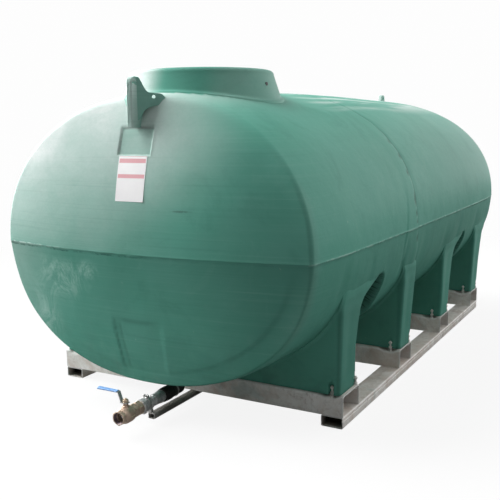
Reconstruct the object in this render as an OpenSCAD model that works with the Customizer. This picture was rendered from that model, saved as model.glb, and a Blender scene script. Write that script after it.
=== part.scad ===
// Horizontal liquid fertiliser tank with moulded legs on a galvanised steel skid.
// Frame: X across, Y along the tank with the outlet end at -Y, Z up.
// The origin is on the ground, under the middle of the overall length.

/* [Tank] */
// Half of the tank's greatest width
tank_a = 968; // [900:1:1000]
// Height of the moulded parting line above the ground
tank_zq = 900; // [880:5:920]
// Rise of the roof above the parting line
tank_top = 806; // [760:2:840]
// Drop of the belly below the parting line
tank_bot = 712; // [690:2:714]
// Squareness of the upper half (2 is an ellipse)
tank_nt = 2.15; // [2:0.05:2.6]
// Squareness of the lower half (2 is an ellipse)
tank_nb = 2.15; // [2:0.05:2.6]
// How much lower the belly hangs where it overhangs the skid
end_drop = 24; // [0:2:30]
// Length of the barrel between the end creases
barrel_len = 3620; // [3400:10:3800]
// How far each dished end bulges out past its crease
end_sag = 115; // [80:5:150]
// Wall thickness of the moulding
wall = 10; // [8:1:14]

/* [Shoulders] */
// Narrowing at the crease from the end shoulder
shoulder_in = 23; // [10:1:40]
// Length over which the shoulder narrows
shoulder_len = 453; // [300:1:600]
// Narrowing from mid-length to the crease
barrel_bow = 21; // [0:1:30]
// How far the crease leans back at the top of each end
crease_lean = 60; // [0:5:100]

/* [Neck] */
// Distance of the neck's axis behind the skid's front face
neck_y = 195; // [150:5:300]
// Outer radius at the foot of the neck
neck_r0 = 413; // [380:1:420]
// Outer radius at the top of the neck
neck_r1 = 391; // [360:1:400]
// Height of the rim above the ground
neck_top = 1797; // [1780:1:1820]
// Radius of the rounded rim
rim_r = 26; // [10:1:30]
// Radius of the screwed lid
lid_r = 236; // [200:1:260]

/* [Skid] */
// Overall width of the skid
skid_w = 1824; // [1800:2:1860]
// Overall length of the skid
skid_len = 2860; // [2800:10:2900]
// Width of each long rail
rail_w = 120; // [100:5:130]
// Height of each long rail
rail_h = 60; // [50:5:60]
// Wall of the rails
rail_t = 4; // [3:1:6]
// Width of each cross beam
beam_w = 220; // [200:5:240]
// Height of each cross beam
beam_h = 112; // [100:1:120]
// Thickness of the folded cross beams
beam_t = 6; // [4:1:8]

/* [Legs] */
// Distance from the skid's centreline to a leg's foot
leg_foot = 903; // [860:1:906]
// Distance from the skid's centreline to a leg's shoulder
leg_head = 940; // [890:1:945]
// Width of a leg along the tank
leg_w = 195; // [150:1:198]
// How far a leg's front leans forward as it rises
leg_lean = 72; // [0:2:90]
// Thickness of the leg's moulded walls
leg_t = 12; // [8:1:14]

/* [Outlet] */
// Height of the outlet's axis
out_z = 113; // [110:1:118]
// Bore of the outlet pipework
bore_r = 25; // [22:0.5:26]
// Distance of the valve's mouth in front of the skid
mouth_y = 625; // [600:5:640]
// Radius of the valve's threaded mouth
mouth_r = 28.5; // [27:0.5:29]
// Distance of the valve's stem in front of the skid
stem_y = 563; // [550:1:570]
// Length of the lever from the stem's axis
lever_len = 171; // [150:1:180]

/* [Hidden] */

green = [0.36, 0.60, 0.53];
galv = [0.62, 0.62, 0.60];
brass = [0.72, 0.60, 0.40];

// the overall length runs from the valve's mouth to the rear end's crown
over_f = (barrel_len - skid_len)/2;
y_lo = -mouth_y;
y_hi = skid_len + over_f + end_sag;
y0 = -round((y_lo + y_hi)/2);       // the skid's front face
ymid = y0 + skid_len/2;             // the middle of tank and skid
H = barrel_len/2;
beam_y = [for (i = [0:3]) y0 + i*(skid_len - beam_w)/3];
deck = rail_h + beam_h;
NS = 72;                            // facets around the tank

function spow(c, n) = sign(c)*pow(abs(c), 2/n);
function ease(d, l) = pow(max(0, 1 - d/l), 2);
// 0 above the skid, rising to 1 at the ends' creases
function over(u) = pow(max(0, (abs(u) - skid_len/2)/(H - skid_len/2)), 1.5);
function bot(u) = tank_bot + end_drop*over(u);
// inward offset of the wall at a distance u from mid-length
function off(u) = shoulder_in*ease(H - abs(u), shoulder_len) + barrel_bow*pow(abs(u)/H, 2);
// half width at a height z on the section u from mid-length, moved out by g
function half_w(z, u, g = 0) =
  let (zz = z - tank_zq, top = zz >= 0, b = (top ? tank_top : bot(u)) - off(u) + g, n = top ? tank_nt : tank_nb,
    r = min(1, abs(zz)/b))
  (tank_a - off(u) + g)*pow(max(0, 1 - pow(r, n)), 1/n);
// underside and roof height at x on the section u from mid-length, moved out by g
function belly(x, u, g = 0) =
  tank_zq - (bot(u) - off(u) + g)*pow(max(0, 1 - pow(min(1, abs(x)/(tank_a - off(u) + g)), tank_nb)), 1/tank_nb);
function roof(x, u, g = 0) =
  tank_zq + (tank_top - off(u) + g)*pow(max(0, 1 - pow(min(1, abs(x)/(tank_a - off(u) + g)), tank_nt)), 1/tank_nt);
// one point of the barrel, w inside the outer skin
function ring_pt(k, u, w) =
  let (t = 360*k/NS, c = cos(t), s = sin(t), n = s >= 0 ? tank_nt : tank_nb, o = off(u) + w,
    lean = s > 0 ? crease_lean*pow(spow(s, n), 2)*max(0, 1 - (H - abs(u))/600) : 0)
  [(tank_a - o)*spow(c, n), ymid + u - sign(u)*lean, tank_zq + ((s >= 0 ? tank_top : bot(u)) - o)*spow(s, n)];
// one point of an end, q from crown (0) to crease (1); e is -1 in front and 1 behind
function end_pt(k, q, e, w) =
  let (c = ring_pt(k, e*H, w), yc = ymid + e*(H + end_sag - w))
  [c[0]*q, yc + (c[1] - yc)*q*q, tank_zq + (c[2] - tank_zq)*q];

us = concat([for (d = [0, 60, 130, 215, 320, 460]) -H + d], [for (i = [1:5]) -H + 460 + i*(2*H - 920)/6],
            [for (d = [460, 320, 215, 130, 60, 0]) H - d]);

module barrel_wall() {
  m = len(us);
  outer = [for (j = [0:m-1]) for (k = [0:NS-1]) ring_pt(k, us[j], 0)];
  inner = [for (j = [0:m-1]) for (k = [0:NS-1]) ring_pt(k, us[j], wall)];
  n = m*NS;
  function o(j, k) = j*NS + k % NS;
  function i(j, k) = n + j*NS + k % NS;
  polyhedron(points = concat(outer, inner), faces = concat(
    [for (j = [0:m-2]) for (k = [0:NS-1]) [o(j,k), o(j,k+1), o(j+1,k+1)]],
    [for (j = [0:m-2]) for (k = [0:NS-1]) [o(j,k), o(j+1,k+1), o(j+1,k)]],
    [for (j = [0:m-2]) for (k = [0:NS-1]) [i(j,k), i(j+1,k+1), i(j,k+1)]],
    [for (j = [0:m-2]) for (k = [0:NS-1]) [i(j,k), i(j+1,k), i(j+1,k+1)]],
    [for (k = [0:NS-1]) [o(0,k), i(0,k+1), o(0,k+1)]],
    [for (k = [0:NS-1]) [o(0,k), i(0,k), i(0,k+1)]],
    [for (k = [0:NS-1]) [o(m-1,k), o(m-1,k+1), i(m-1,k+1)]],
    [for (k = [0:NS-1]) [o(m-1,k), i(m-1,k+1), i(m-1,k)]]), convexity = 8);
}

qs = [1, 0.93, 0.82, 0.66, 0.46, 0.24];

module end_wall(e) {
  m = len(qs);
  outer = [for (j = [0:m-1]) for (k = [0:NS-1]) end_pt(k, qs[j], e, 0)];
  inner = [for (j = [0:m-1]) for (k = [0:NS-1]) end_pt(k, qs[j], e, wall)];
  n = m*NS;
  co = 2*n; ci = 2*n + 1;
  function o(j, k) = j*NS + k % NS;
  function i(j, k) = n + j*NS + k % NS;
  pts = concat(outer, inner, [end_pt(0, 0, e, 0), end_pt(0, 0, e, wall)]);
  f = concat(
    [for (j = [0:m-2]) for (k = [0:NS-1]) [o(j,k), o(j+1,k+1), o(j,k+1)]],
    [for (j = [0:m-2]) for (k = [0:NS-1]) [o(j,k), o(j+1,k), o(j+1,k+1)]],
    [for (k = [0:NS-1]) [o(m-1,k), co, o(m-1,k+1)]],
    [for (j = [0:m-2]) for (k = [0:NS-1]) [i(j,k), i(j,k+1), i(j+1,k+1)]],
    [for (j = [0:m-2]) for (k = [0:NS-1]) [i(j,k), i(j+1,k+1), i(j+1,k)]],
    [for (k = [0:NS-1]) [i(m-1,k), i(m-1,k+1), ci]],
    [for (k = [0:NS-1]) [o(0,k), o(0,k+1), i(0,k+1)]],
    [for (k = [0:NS-1]) [o(0,k), i(0,k+1), i(0,k)]]);
  polyhedron(points = pts, faces = e < 0 ? f : [for (t = f) [t[0], t[2], t[1]]], convexity = 8);
}

module tank_barrel() {
  color(green) difference() {
    barrel_wall();
    translate([0, y0 + neck_y, tank_zq + 300]) cylinder(r = neck_r1 - 20, h = 700, $fn = 96);
    translate([0, y0 + elbow_y, 120]) cylinder(r = 34, h = 300, $fn = 48);
  }
}
module front_end() { color(green) end_wall(-1); }
module rear_end() { color(green) end_wall(1); }

// raised band around the barrel, above the second leg
band_y = y0 + 926; band_w = 120; band_t = 6;
module mid_band() {
  m = 2;
  ub = [band_y - ymid - band_w/2, band_y - ymid + band_w/2];
  k0 = 2;                        // the band ends above the leg's shoulder
  ks = [for (k = [-k0:NS/2 + k0]) (k + NS) % NS];
  nk = len(ks);
  pts = concat([for (j = [0:1]) for (k = ks) ring_pt(k, ub[j], -band_t)], [for (j = [0:1]) for (k = ks) ring_pt(k, ub[j], -0.4)]);
  n = 2*nk;
  function o(j, k) = j*nk + k;
  function i(j, k) = n + j*nk + k;
  color(green) polyhedron(points = pts, faces = concat(
    [for (k = [0:nk-2]) [o(0,k), o(0,k+1), o(1,k+1)]], [for (k = [0:nk-2]) [o(0,k), o(1,k+1), o(1,k)]],
    [for (k = [0:nk-2]) [i(0,k), i(1,k+1), i(0,k+1)]], [for (k = [0:nk-2]) [i(0,k), i(1,k), i(1,k+1)]],
    [for (k = [0:nk-2]) [o(0,k), i(0,k+1), o(0,k+1)]], [for (k = [0:nk-2]) [o(0,k), i(0,k), i(0,k+1)]],
    [for (k = [0:nk-2]) [o(1,k), o(1,k+1), i(1,k+1)]], [for (k = [0:nk-2]) [o(1,k), i(1,k+1), i(1,k)]],
    [[o(0,0), o(1,0), i(1,0)], [o(0,0), i(1,0), i(0,0)]],
    [[o(0,nk-1), i(1,nk-1), o(1,nk-1)], [o(0,nk-1), i(0,nk-1), i(1,nk-1)]]), convexity = 8);
}

// the neck stands in the roof's opening; its top is dished for the lid
seat_z = neck_top - 22;
plug_z = 1718;
neck_z0 = roof(neck_r0, y0 + neck_y - ymid) - 30;
module neck() {
  color(green) difference() {
    translate([0, y0 + neck_y, 0]) rotate_extrude($fn = 96) polygon(concat(
      [[neck_r0 - wall + 4, neck_z0], [neck_r0 + 4, neck_z0]],
      [for (a = [0:15:90]) [neck_r1 - rim_r + rim_r*cos(a), neck_top - rim_r + rim_r*sin(a)]],
      [[lid_r + 46, neck_top], [lid_r + 30, seat_z], [lid_r - 30, seat_z], [lid_r - 30, seat_z - wall],
       [neck_r1 - rim_r - wall, seat_z - wall]]));
    tank_body();
    translate([0, y0 + neck_y, plug_z]) rotate(-3) translate([neck_r0 - 60, 0, 0]) rotate([0, 90, 0]) cylinder(r = 9, h = 120, $fn = 32);
  }
}
// the upper part of the tank's body as one closed solid, used to seat the neck
module tank_body() {
  m = len(us);
  pts = concat([for (j = [0:m-1]) for (k = [0:NS-1]) ring_pt(k, us[j], 0)], [[0, ymid - H, tank_zq], [0, ymid + H, tank_zq]]);
  function o(j, k) = j*NS + k % NS;
  polyhedron(points = pts, faces = concat(
    [for (j = [0:m-2]) for (k = [0:NS-1]) [o(j,k), o(j,k+1), o(j+1,k+1)]],
    [for (j = [0:m-2]) for (k = [0:NS-1]) [o(j,k), o(j+1,k+1), o(j+1,k)]],
    [for (k = [0:NS-1]) [m*NS, o(0,k+1), o(0,k)]],
    [for (k = [0:NS-1]) [m*NS + 1, o(m-1,k), o(m-1,k+1)]]), convexity = 8);
}
module lid() {
  color([0.16, 0.17, 0.17]) translate([0, y0 + neck_y, seat_z]) {
    difference() {
      rotate_extrude($fn = 96) polygon([[0, 8], [lid_r - 22, 8], [lid_r - 22, 0], [lid_r, 0], [lid_r, 22], [lid_r - 5, 27],
        [lid_r - 26, 27], [lid_r - 34, 19], [0, 23]]);
    }
    for (a = [0:30:330]) rotate(a) translate([lid_r - 0.5, -7, 2]) cube([7, 14, 20]);
    translate([0, 0, 22]) cylinder(r = 34, h = 5, $fn = 48);
  }
}
module neck_plug() {
  color([0.13, 0.2, 0.18]) translate([0, y0 + neck_y, plug_z]) rotate(-3) translate([neck_r0 - 20, 0, 0]) rotate([0, 90, 0])
    cylinder(r = 8.9, h = 19, $fn = 32);
}

// lifting lug: a post on the end's crown with two ribs swept back over the shoulder
lug_t = 28;
rib_a = 35;
lug_top = 1745;
module rib_outline(s) {
  polygon([[0, 1525], [s*10, 1536], [s*25, 1555], [s*35, 1573], [s*50, 1590], [s*69, 1601], [s*93, 1608], [s*141, 1612],
    [s*151, 1619], [s*146, 1635], [s*138, 1652], [s*119, 1664], [s*72, 1669], [s*54, 1677], [s*40, 1696], [s*27, 1726],
    [s*13, lug_top - 4], [0, lug_top]]);
}
module lug_solid() {
  hull_x = lug_t/2;
  translate([hull_x, 0, 0]) rotate([90, 0, -90]) linear_extrude(lug_t) polygon(
    [[0, 1500], [20, 1530], [18, 1640], [15, 1722], [6, 1738], [-10, lug_top], [-62, lug_top - 3], [-90, 1700], [-90, 1500]]);
  for (s = [1, -1]) translate([0, 34, 0]) rotate(s*rib_a) rotate([90, 0, 0]) linear_extrude(24, center = true) rib_outline(s);
}
// the outer body from ring j0 to ring j1 of the front half, closed, to trim what stands on it
module front_skin() {
  m = 5; nq = len(qs);
  rings = concat([for (j = [nq-1:-1:1]) [for (k = [0:NS-1]) end_pt(k, qs[j], -1, -0.2)]], [for (j = [0:m]) [for (k = [0:NS-1]) ring_pt(k, us[j], -0.2)]]);
  r = len(rings);
  pts = concat([for (q = rings) for (c = q) c], [end_pt(0, 0, -1, -0.2), [0, ymid + us[m], tank_zq]]);
  function o(j, k) = j*NS + k % NS;
  polyhedron(points = pts, faces = concat(
    [for (j = [0:r-2]) for (k = [0:NS-1]) [o(j,k), o(j,k+1), o(j+1,k+1)]],
    [for (j = [0:r-2]) for (k = [0:NS-1]) [o(j,k), o(j+1,k+1), o(j+1,k)]],
    [for (k = [0:NS-1]) [r*NS, o(0,k+1), o(0,k)]],
    [for (k = [0:NS-1]) [r*NS + 1, o(r-1,k), o(r-1,k+1)]]), convexity = 8);
}
module front_lifting_lug() {
  color(green) difference() {
    translate([0, y0 - 430, 0]) lug_solid();
    front_skin();
    translate([-lug_t, y0 - 424, 1716]) rotate([0, 90, 0]) cylinder(r = 9, h = 2*lug_t, $fn = 48);
  }
}
module rear_lifting_lug() {
  yr = y0 + 3050; zr = roof(0, 3050 - skid_len/2);
  color(green) difference() {
    translate([lug_t/2, 0, 0]) rotate([90, 0, -90]) linear_extrude(lug_t) polygon(
      [[-(yr - 70), zr - 30], [-(yr - 66), zr + 8], [-(yr - 38), zr + 22], [-(yr - 24), zr + 62], [-(yr - 12), zr + 70], [-(yr + 20), zr + 70],
       [-(yr + 34), zr + 60], [-(yr + 44), zr - 30]]);
    translate([0, 2*ymid, 0]) mirror([0, 1, 0]) front_skin();
    translate([-lug_t, yr + 6, zr + 42]) rotate([0, 90, 0]) cylinder(r = 9, h = 2*lug_t, $fn = 48);
  }
}

// thin label on the front end
label_w = 176; label_h = 218; label_z = 1263;
module label() {
  xs = [for (i = [0:8]) -label_w/2 + i*label_w/8];
  zs = [for (j = [0:6]) label_z - label_h/2 + j*label_h/6];
  function face_y(x, z) =
    let (th = atan2(z - tank_zq, x), b = tank_top - off(H), a = tank_a - off(H),
      q = pow(pow(abs(x)/a, tank_nt) + pow(abs(z - tank_zq)/b, tank_nt), 1/tank_nt),
      zz = (z - tank_zq)/(q*b), lean = crease_lean*zz*zz)
    ymid - (H + end_sag - (end_sag + lean)*q*q);
  n = 63;
  pts = concat([for (z = zs) for (x = xs) [x, face_y(x, z) - 2, z]], [for (z = zs) for (x = xs) [x, face_y(x, z) - 0.3, z]]);
  function a(i, j) = j*9 + i;
  function b(i, j) = n + j*9 + i;
  color([0.95, 0.94, 0.94]) polyhedron(points = pts, faces = concat(
    [for (j = [0:5]) for (i = [0:7]) [a(i,j), a(i+1,j+1), a(i+1,j)]], [for (j = [0:5]) for (i = [0:7]) [a(i,j), a(i,j+1), a(i+1,j+1)]],
    [for (j = [0:5]) for (i = [0:7]) [b(i,j), b(i+1,j), b(i+1,j+1)]], [for (j = [0:5]) for (i = [0:7]) [b(i,j), b(i+1,j+1), b(i,j+1)]],
    [for (i = [0:7]) [a(i,0), a(i+1,0), b(i+1,0)]], [for (i = [0:7]) [a(i,0), b(i+1,0), b(i,0)]],
    [for (i = [0:7]) [a(i,6), b(i+1,6), a(i+1,6)]], [for (i = [0:7]) [a(i,6), b(i,6), b(i+1,6)]],
    [for (j = [0:5]) [a(0,j), b(0,j+1), a(0,j+1)]], [for (j = [0:5]) [a(0,j), b(0,j), b(0,j+1)]],
    [for (j = [0:5]) [a(8,j), a(8,j+1), b(8,j+1)]], [for (j = [0:5]) [a(8,j), b(8,j+1), b(8,j)]]), convexity = 4);
}

// a hollow moulded leg: front and back walls, battered outer walls and a foot on the beam
leg_gap = 2.4;                      // the belly's facets clear the leg by this much
leg_in = 20;                        // the leg's front face behind the beam's front edge
leg_z1 = 640;                       // the leg's shoulder, where it runs into the barrel
function leg_x(z) = leg_foot + (leg_head - leg_foot)*(z - deck)/(leg_z1 - deck);
// outline of a leg seen from the end: foot, battered sides, and the belly it carries
function leg_prof(u) = concat([[-leg_foot, deck], [leg_foot, deck]],
  [for (s = [1, -1]) for (i = [0:23]) let (f = s > 0 ? i/23 : 1 - i/23, th = 12 + 76*f,
      x = (tank_a - off(u) + leg_gap)*spow(cos(th), tank_nb), z = tank_zq - (tank_bot - off(u) + leg_gap)*spow(sin(th), tank_nb))
    [s*min(x, leg_x(z)), z]]);
module leg(i) {
  yb = beam_y[i] + leg_in;
  u0 = yb - ymid; u1 = yb + leg_w - ymid; um = abs(u0) < abs(u1) ? u0 : u1;
  zc = deck + leg_t;
  color(green) difference() {
    intersection() {
      translate([0, yb + leg_w, 0]) rotate([90, 0, 0]) linear_extrude(leg_w + leg_lean + leg_in) polygon(leg_prof(um));
      translate([-1000, yb, 0]) rotate([90, 0, 90]) linear_extrude(2000) polygon(
        [[0, deck - 1], [leg_w + 1, deck - 1], [leg_w + 1, 760], [-leg_lean - leg_in, 760], [-leg_lean - leg_in, 740], [0, deck + 40]]);
    }
    for (s = [-1, 1]) translate([0, yb + leg_w - leg_t, 0]) rotate([90, 0, 0]) linear_extrude(leg_w - 2*leg_t) polygon([
      [s*260, zc], [s*(leg_x(zc) - 30), zc], [s*(leg_x(600) - 30), 600], [s*(leg_x(600) - 30), 760], [s*260, 760]]);
    // notches where the studs stand
    for (s = [-1, 1]) for (r = [0, 1]) translate([s*bolt_x[r], beam_y[i] + beam_w/2 + (2*r - 1)*bolt_y, deck - 1]) cylinder(r = 13, h = 90, $fn = 32);
  }
}
module leg_1() leg(0);
module leg_2() leg(1);
module leg_3() leg(2);
module leg_4() leg(3);

module rail(s) {
  color(galv) translate([s*(skid_w - rail_w)/2, y0 + skid_len, rail_h/2]) rotate([90, 0, 0]) linear_extrude(skid_len) difference() {
    square([rail_w, rail_h], center = true);
    square([rail_w - 2*rail_t, rail_h - 2*rail_t], center = true);
  }
}
module skid_rail_left() rail(-1);
module skid_rail_right() rail(1);
module beam(i) {
  color(galv) difference() {
    translate([-skid_w/2, beam_y[i] + beam_w/2, rail_h]) rotate([90, 0, 90]) linear_extrude(skid_w) polygon([
      [-beam_w/2, 0], [-beam_w/2, beam_h], [beam_w/2, beam_h], [beam_w/2, 0],
      [beam_w/2 - beam_t, 0], [beam_w/2 - beam_t, beam_h - beam_t], [beam_t - beam_w/2, beam_h - beam_t], [beam_t - beam_w/2, 0]]);
    for (sx = [-1, 1]) for (r = [0, 1]) translate([sx*bolt_x[r], beam_y[i] + beam_w/2 + (2*r - 1)*bolt_y, deck - 20]) cylinder(r = bolt_r + 1, h = 40, $fn = 32);
  }
}
module cross_beam_1() beam(0);
module cross_beam_2() beam(1);
module cross_beam_3() beam(2);
module cross_beam_4() beam(3);

// studs with their nuts and washers, in front of and behind each leg
bolt_x = [848, 898]; bolt_y = 94; bolt_r = 6;
module bolts(i) {
  color([0.7, 0.7, 0.68]) for (sx = [-1, 1]) for (r = [0, 1]) translate([sx*bolt_x[r], beam_y[i] + beam_w/2 + (2*r - 1)*bolt_y, 0]) {
    translate([0, 0, deck - 26]) cylinder(r = bolt_r, h = 71.5, $fn = 32);
    translate([0, 0, deck]) cylinder(r = 9.8, h = 2.5, $fn = 32);
    translate([0, 0, deck + 2.5]) cylinder(r = 10.4, h = 10, $fn = 6);
    translate([0, 0, deck + 30]) cylinder(r = 10.4, h = 9, $fn = 6);
    translate([0, 0, deck - beam_t - 10]) cylinder(r = 10.4, h = 10, $fn = 6);
  }
}
module hold_down_bolts_1() bolts(0);
module hold_down_bolts_2() bolts(1);
module hold_down_bolts_3() bolts(2);
module hold_down_bolts_4() bolts(3);

// outlet pipework, from the belly forward to the valve
elbow_y = -112;
module tube_y(ya, yb, ro, ri) translate([0, y0 + yb, out_z]) rotate([90, 0, 0]) difference() {
  cylinder(r = ro, h = yb - ya, $fn = 64);
  translate([0, 0, -1]) cylinder(r = ri, h = yb - ya + 2, $fn = 64);
}
elbow_top = belly(0, y0 + elbow_y - ymid) + 30;
module outlet_elbow() {
  color([0.12, 0.12, 0.12]) difference() {
    union() {
      translate([0, y0 + elbow_y, out_z]) sphere(r = 33, $fn = 64);
      translate([0, y0 + elbow_y, out_z]) cylinder(r = 33, h = elbow_top - out_z, $fn = 64);
      translate([0, y0 + elbow_y, out_z]) rotate([90, 0, 0]) cylinder(r = 33, h = 78, $fn = 64);
    }
    translate([0, y0 + elbow_y, out_z]) sphere(r = bore_r, $fn = 64);
    translate([0, y0 + elbow_y, out_z]) cylinder(r = bore_r, h = 300, $fn = 64);
    translate([0, y0 + elbow_y, out_z]) rotate([90, 0, 0]) cylinder(r = bore_r, h = 100, $fn = 64);
  }
}
module elbow_ring() { color([0.75, 0.75, 0.73]) tube_y(-172, -150, 38, 33.3); }
module black_collar() { color([0.1, 0.1, 0.1]) tube_y(-268, -190.2, 38, bore_r); }
module galvanised_pipe() { color(galv) tube_y(-372, -268.2, 30.2, bore_r); }
module steel_socket() { color(galv) tube_y(-455, -372.2, 36, bore_r); }
module hose_clamp() {
  color([0.8, 0.8, 0.8]) {
    tube_y(-410, -396, 38, 36.3);
    translate([0, y0 - 403, out_z + 36.5]) {
      translate([0, 0, 5]) cube([26, 14, 10], center = true);
      translate([-17, 0, 5]) rotate([0, 90, 0]) cylinder(r = 3, h = 34, $fn = 24);
      translate([17, 0, 9]) cube([3, 5, 18], center = true);
    }
  }
}
module hex_nipple() {
  color(brass) difference() {
    translate([0, y0 - 455.2, out_z]) rotate([90, 0, 0]) rotate(30) cylinder(r = 38, h = 44.6, $fn = 6);
    translate([0, y0 - 450, out_z]) rotate([90, 0, 0]) cylinder(r = bore_r, h = 60, $fn = 64);
  }
}
ball_r = 35;
ball_h = sqrt(ball_r*ball_r - bore_r*bore_r);
module valve_body() {
  cr = ball_r + 0.4; ch = sqrt(cr*cr - bore_r*bore_r);
  color(brass) difference() {
    union() {
      translate([0, y0 - 500, out_z]) rotate([90, 0, 0]) rotate(30) cylinder(r = 38, h = 26, $fn = 6);
      translate([0, y0 - 601, out_z]) rotate([90, 0, 0]) rotate(30) cylinder(r = 38, h = mouth_y - 601, $fn = 6);
      translate([0, y0, out_z]) rotate([90, 0, 0]) rotate_extrude($fn = 64) polygon([[0, 512], [33, 512], [36, 524], [40, 534], [42, 548], [42, 578],
        [40, 585], [36, 594], [36, 603], [0, 603]]);
      translate([0, y0 - stem_y, out_z]) cylinder(r = 17, h = 58, $fn = 48);
    }
    translate([0, y0 - stem_y + 100, out_z]) rotate([90, 0, 0]) cylinder(r = bore_r, h = 200, $fn = 96);
    translate([0, y0 - stem_y + ch, out_z]) rotate([90, 0, 0]) cylinder(r = cr, h = 2*ch, $fn = 96);
    translate([0, y0 - mouth_y + 24, out_z]) rotate([90, 0, 0]) cylinder(r = mouth_r, h = 30, $fn = 96);
    translate([0, y0 - stem_y, out_z]) cylinder(r = 8.05, h = 80, $fn = 48);
  }
}
module valve_ball() {
  ba = asin(ball_h/ball_r);
  color([0.85, 0.85, 0.86]) translate([0, y0 - stem_y, out_z]) rotate([0, 90, 0]) rotate_extrude($fn = 64)
    polygon(concat([[bore_r, -ball_h]], [for (a = [-0.875:0.125:0.875]) [ball_r*cos(a*ba), ball_r*sin(a*ba)]], [[bore_r, ball_h]]));
}
stem_top = out_z + 84;
module valve_stem() {
  color(brass) translate([0, y0 - stem_y, 0]) {
    translate([0, 0, out_z + ball_r + 0.1]) cylinder(r = 8, h = stem_top - out_z - ball_r - 0.1, $fn = 48);
    translate([0, 0, stem_top - 18]) rotate(15) cylinder(r = 15, h = 12, $fn = 6);
  }
}
lev_z = out_z + 60;
lev_up = out_z + 110;
module valve_lever() {
  color([0.35, 0.36, 0.38]) translate([0, y0 - stem_y, 0]) {
    difference() {
      translate([-24, -14, lev_z]) cube([40, 28, 4]);
      translate([0, 0, lev_z - 2]) cylinder(r = 8.1, h = 10, $fn = 48);
    }
    translate([0, 10, 0]) rotate([90, 0, 0]) linear_extrude(20) polygon([[-24, lev_z], [-20, lev_z + 4], [-38, lev_up + 4], [-lever_len + 8, lev_up + 4],
      [-lever_len + 8, lev_up], [-42, lev_up]]);
  }
}
module lever_sleeve() {
  color([0.25, 0.45, 0.72]) translate([0, y0 - stem_y, lev_up + 2]) difference() {
    translate([-lever_len/2 - 22, 0, 0]) cube([lever_len - 44, 28, 11], center = true);
    translate([-lever_len/2 - 12, 0, 0]) cube([lever_len, 20.2, 4.2], center = true);
  }
}
module support_arm() {
  color([0.36, 0.35, 0.34]) translate([18, y0 + 230, 45]) rotate([90, 0, 0]) linear_extrude(230 + 386) difference() {
    square([40, 30], center = true);
    square([34, 24], center = true);
  }
}
module arm_strap() {
  color([0.36, 0.35, 0.34]) translate([0, y0 - 384, 60]) {
    translate([-34, 0, 0]) cube([72, 26, 4]);
    translate([-14, 4, 4]) cube([28, 18, out_z - 36.2 - 64]);
    translate([-34, 0, -16]) cube([4, 26, 16]);
  }
}

tank_barrel();
front_end();
rear_end();
mid_band();
neck();
lid();
neck_plug();
front_lifting_lug();
rear_lifting_lug();
label();
leg_1();
leg_2();
leg_3();
leg_4();
skid_rail_left();
skid_rail_right();
cross_beam_1();
cross_beam_2();
cross_beam_3();
cross_beam_4();
hold_down_bolts_1();
hold_down_bolts_2();
hold_down_bolts_3();
hold_down_bolts_4();
outlet_elbow();
elbow_ring();
black_collar();
galvanised_pipe();
hose_clamp();
steel_socket();
hex_nipple();
valve_body();
valve_ball();
valve_stem();
valve_lever();
lever_sleeve();
support_arm();
arm_strap();
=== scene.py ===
import math

import bmesh
import bpy
import numpy as np
from mathutils import Matrix, Vector


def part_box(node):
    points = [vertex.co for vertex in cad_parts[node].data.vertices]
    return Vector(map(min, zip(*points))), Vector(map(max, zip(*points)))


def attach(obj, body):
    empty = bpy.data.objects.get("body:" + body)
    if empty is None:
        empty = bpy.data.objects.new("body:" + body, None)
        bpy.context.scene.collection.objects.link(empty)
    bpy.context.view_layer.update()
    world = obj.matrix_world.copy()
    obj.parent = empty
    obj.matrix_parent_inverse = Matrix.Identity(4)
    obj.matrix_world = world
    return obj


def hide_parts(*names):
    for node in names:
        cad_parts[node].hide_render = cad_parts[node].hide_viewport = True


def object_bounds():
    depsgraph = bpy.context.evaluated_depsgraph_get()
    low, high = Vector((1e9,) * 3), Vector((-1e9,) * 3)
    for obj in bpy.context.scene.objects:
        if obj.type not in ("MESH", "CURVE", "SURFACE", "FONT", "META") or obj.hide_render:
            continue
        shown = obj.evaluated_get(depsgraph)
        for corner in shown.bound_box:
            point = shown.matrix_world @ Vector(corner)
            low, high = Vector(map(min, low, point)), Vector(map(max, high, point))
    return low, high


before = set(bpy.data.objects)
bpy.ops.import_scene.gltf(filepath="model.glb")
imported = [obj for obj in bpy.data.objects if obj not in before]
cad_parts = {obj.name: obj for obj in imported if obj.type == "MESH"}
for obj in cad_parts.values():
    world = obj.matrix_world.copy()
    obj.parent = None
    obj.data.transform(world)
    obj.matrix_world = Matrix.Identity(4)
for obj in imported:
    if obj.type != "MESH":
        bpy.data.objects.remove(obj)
cad_lo, cad_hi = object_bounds()
scene = bpy.context.scene
rng = np.random.default_rng(7)
MM = 0.001

# ---------------------------------------------------------------- places taken from the frame (in mm)
Y0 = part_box("cross_beam_1")[0].y / MM            # the skid's front face
SK_LEN = (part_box("skid_rail_left")[1].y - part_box("skid_rail_left")[0].y) / MM
YM = Y0 + SK_LEN / 2                             # middle of tank and skid
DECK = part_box("cross_beam_1")[1].z / MM          # top of the cross beams
BEAM_Y = [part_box(f"cross_beam_{i}")[0].y / MM for i in (1, 2, 3, 4)]
BEAM_W = (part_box("cross_beam_1")[1].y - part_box("cross_beam_1")[0].y) / MM
NECK_Y = (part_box("lid")[0].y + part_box("lid")[1].y) / 2 / MM
NECK_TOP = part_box("neck")[1].z / MM
OUT_Z = 113.0
TA, ZQ, TT, TB, NT, NB = 968.0, 900.0, 806.0, 712.0, 2.15, 2.15
H, SAG = 1810.0, 115.0
DROP = 24.0                                      # how much lower the belly hangs past the skid
RAIL_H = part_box("skid_rail_right")[1].z / MM
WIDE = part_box("cross_beam_1")[1].x / MM          # half the skid's width
BOLTS = ((848.0, 16.0), (898.0, BEAM_W - 16.0))  # studs: across, and behind the beam's front edge


# ---------------------------------------------------------------- small helpers
def spow(c, n):
    return np.sign(c) * np.abs(c) ** (2.0 / n)


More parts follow.
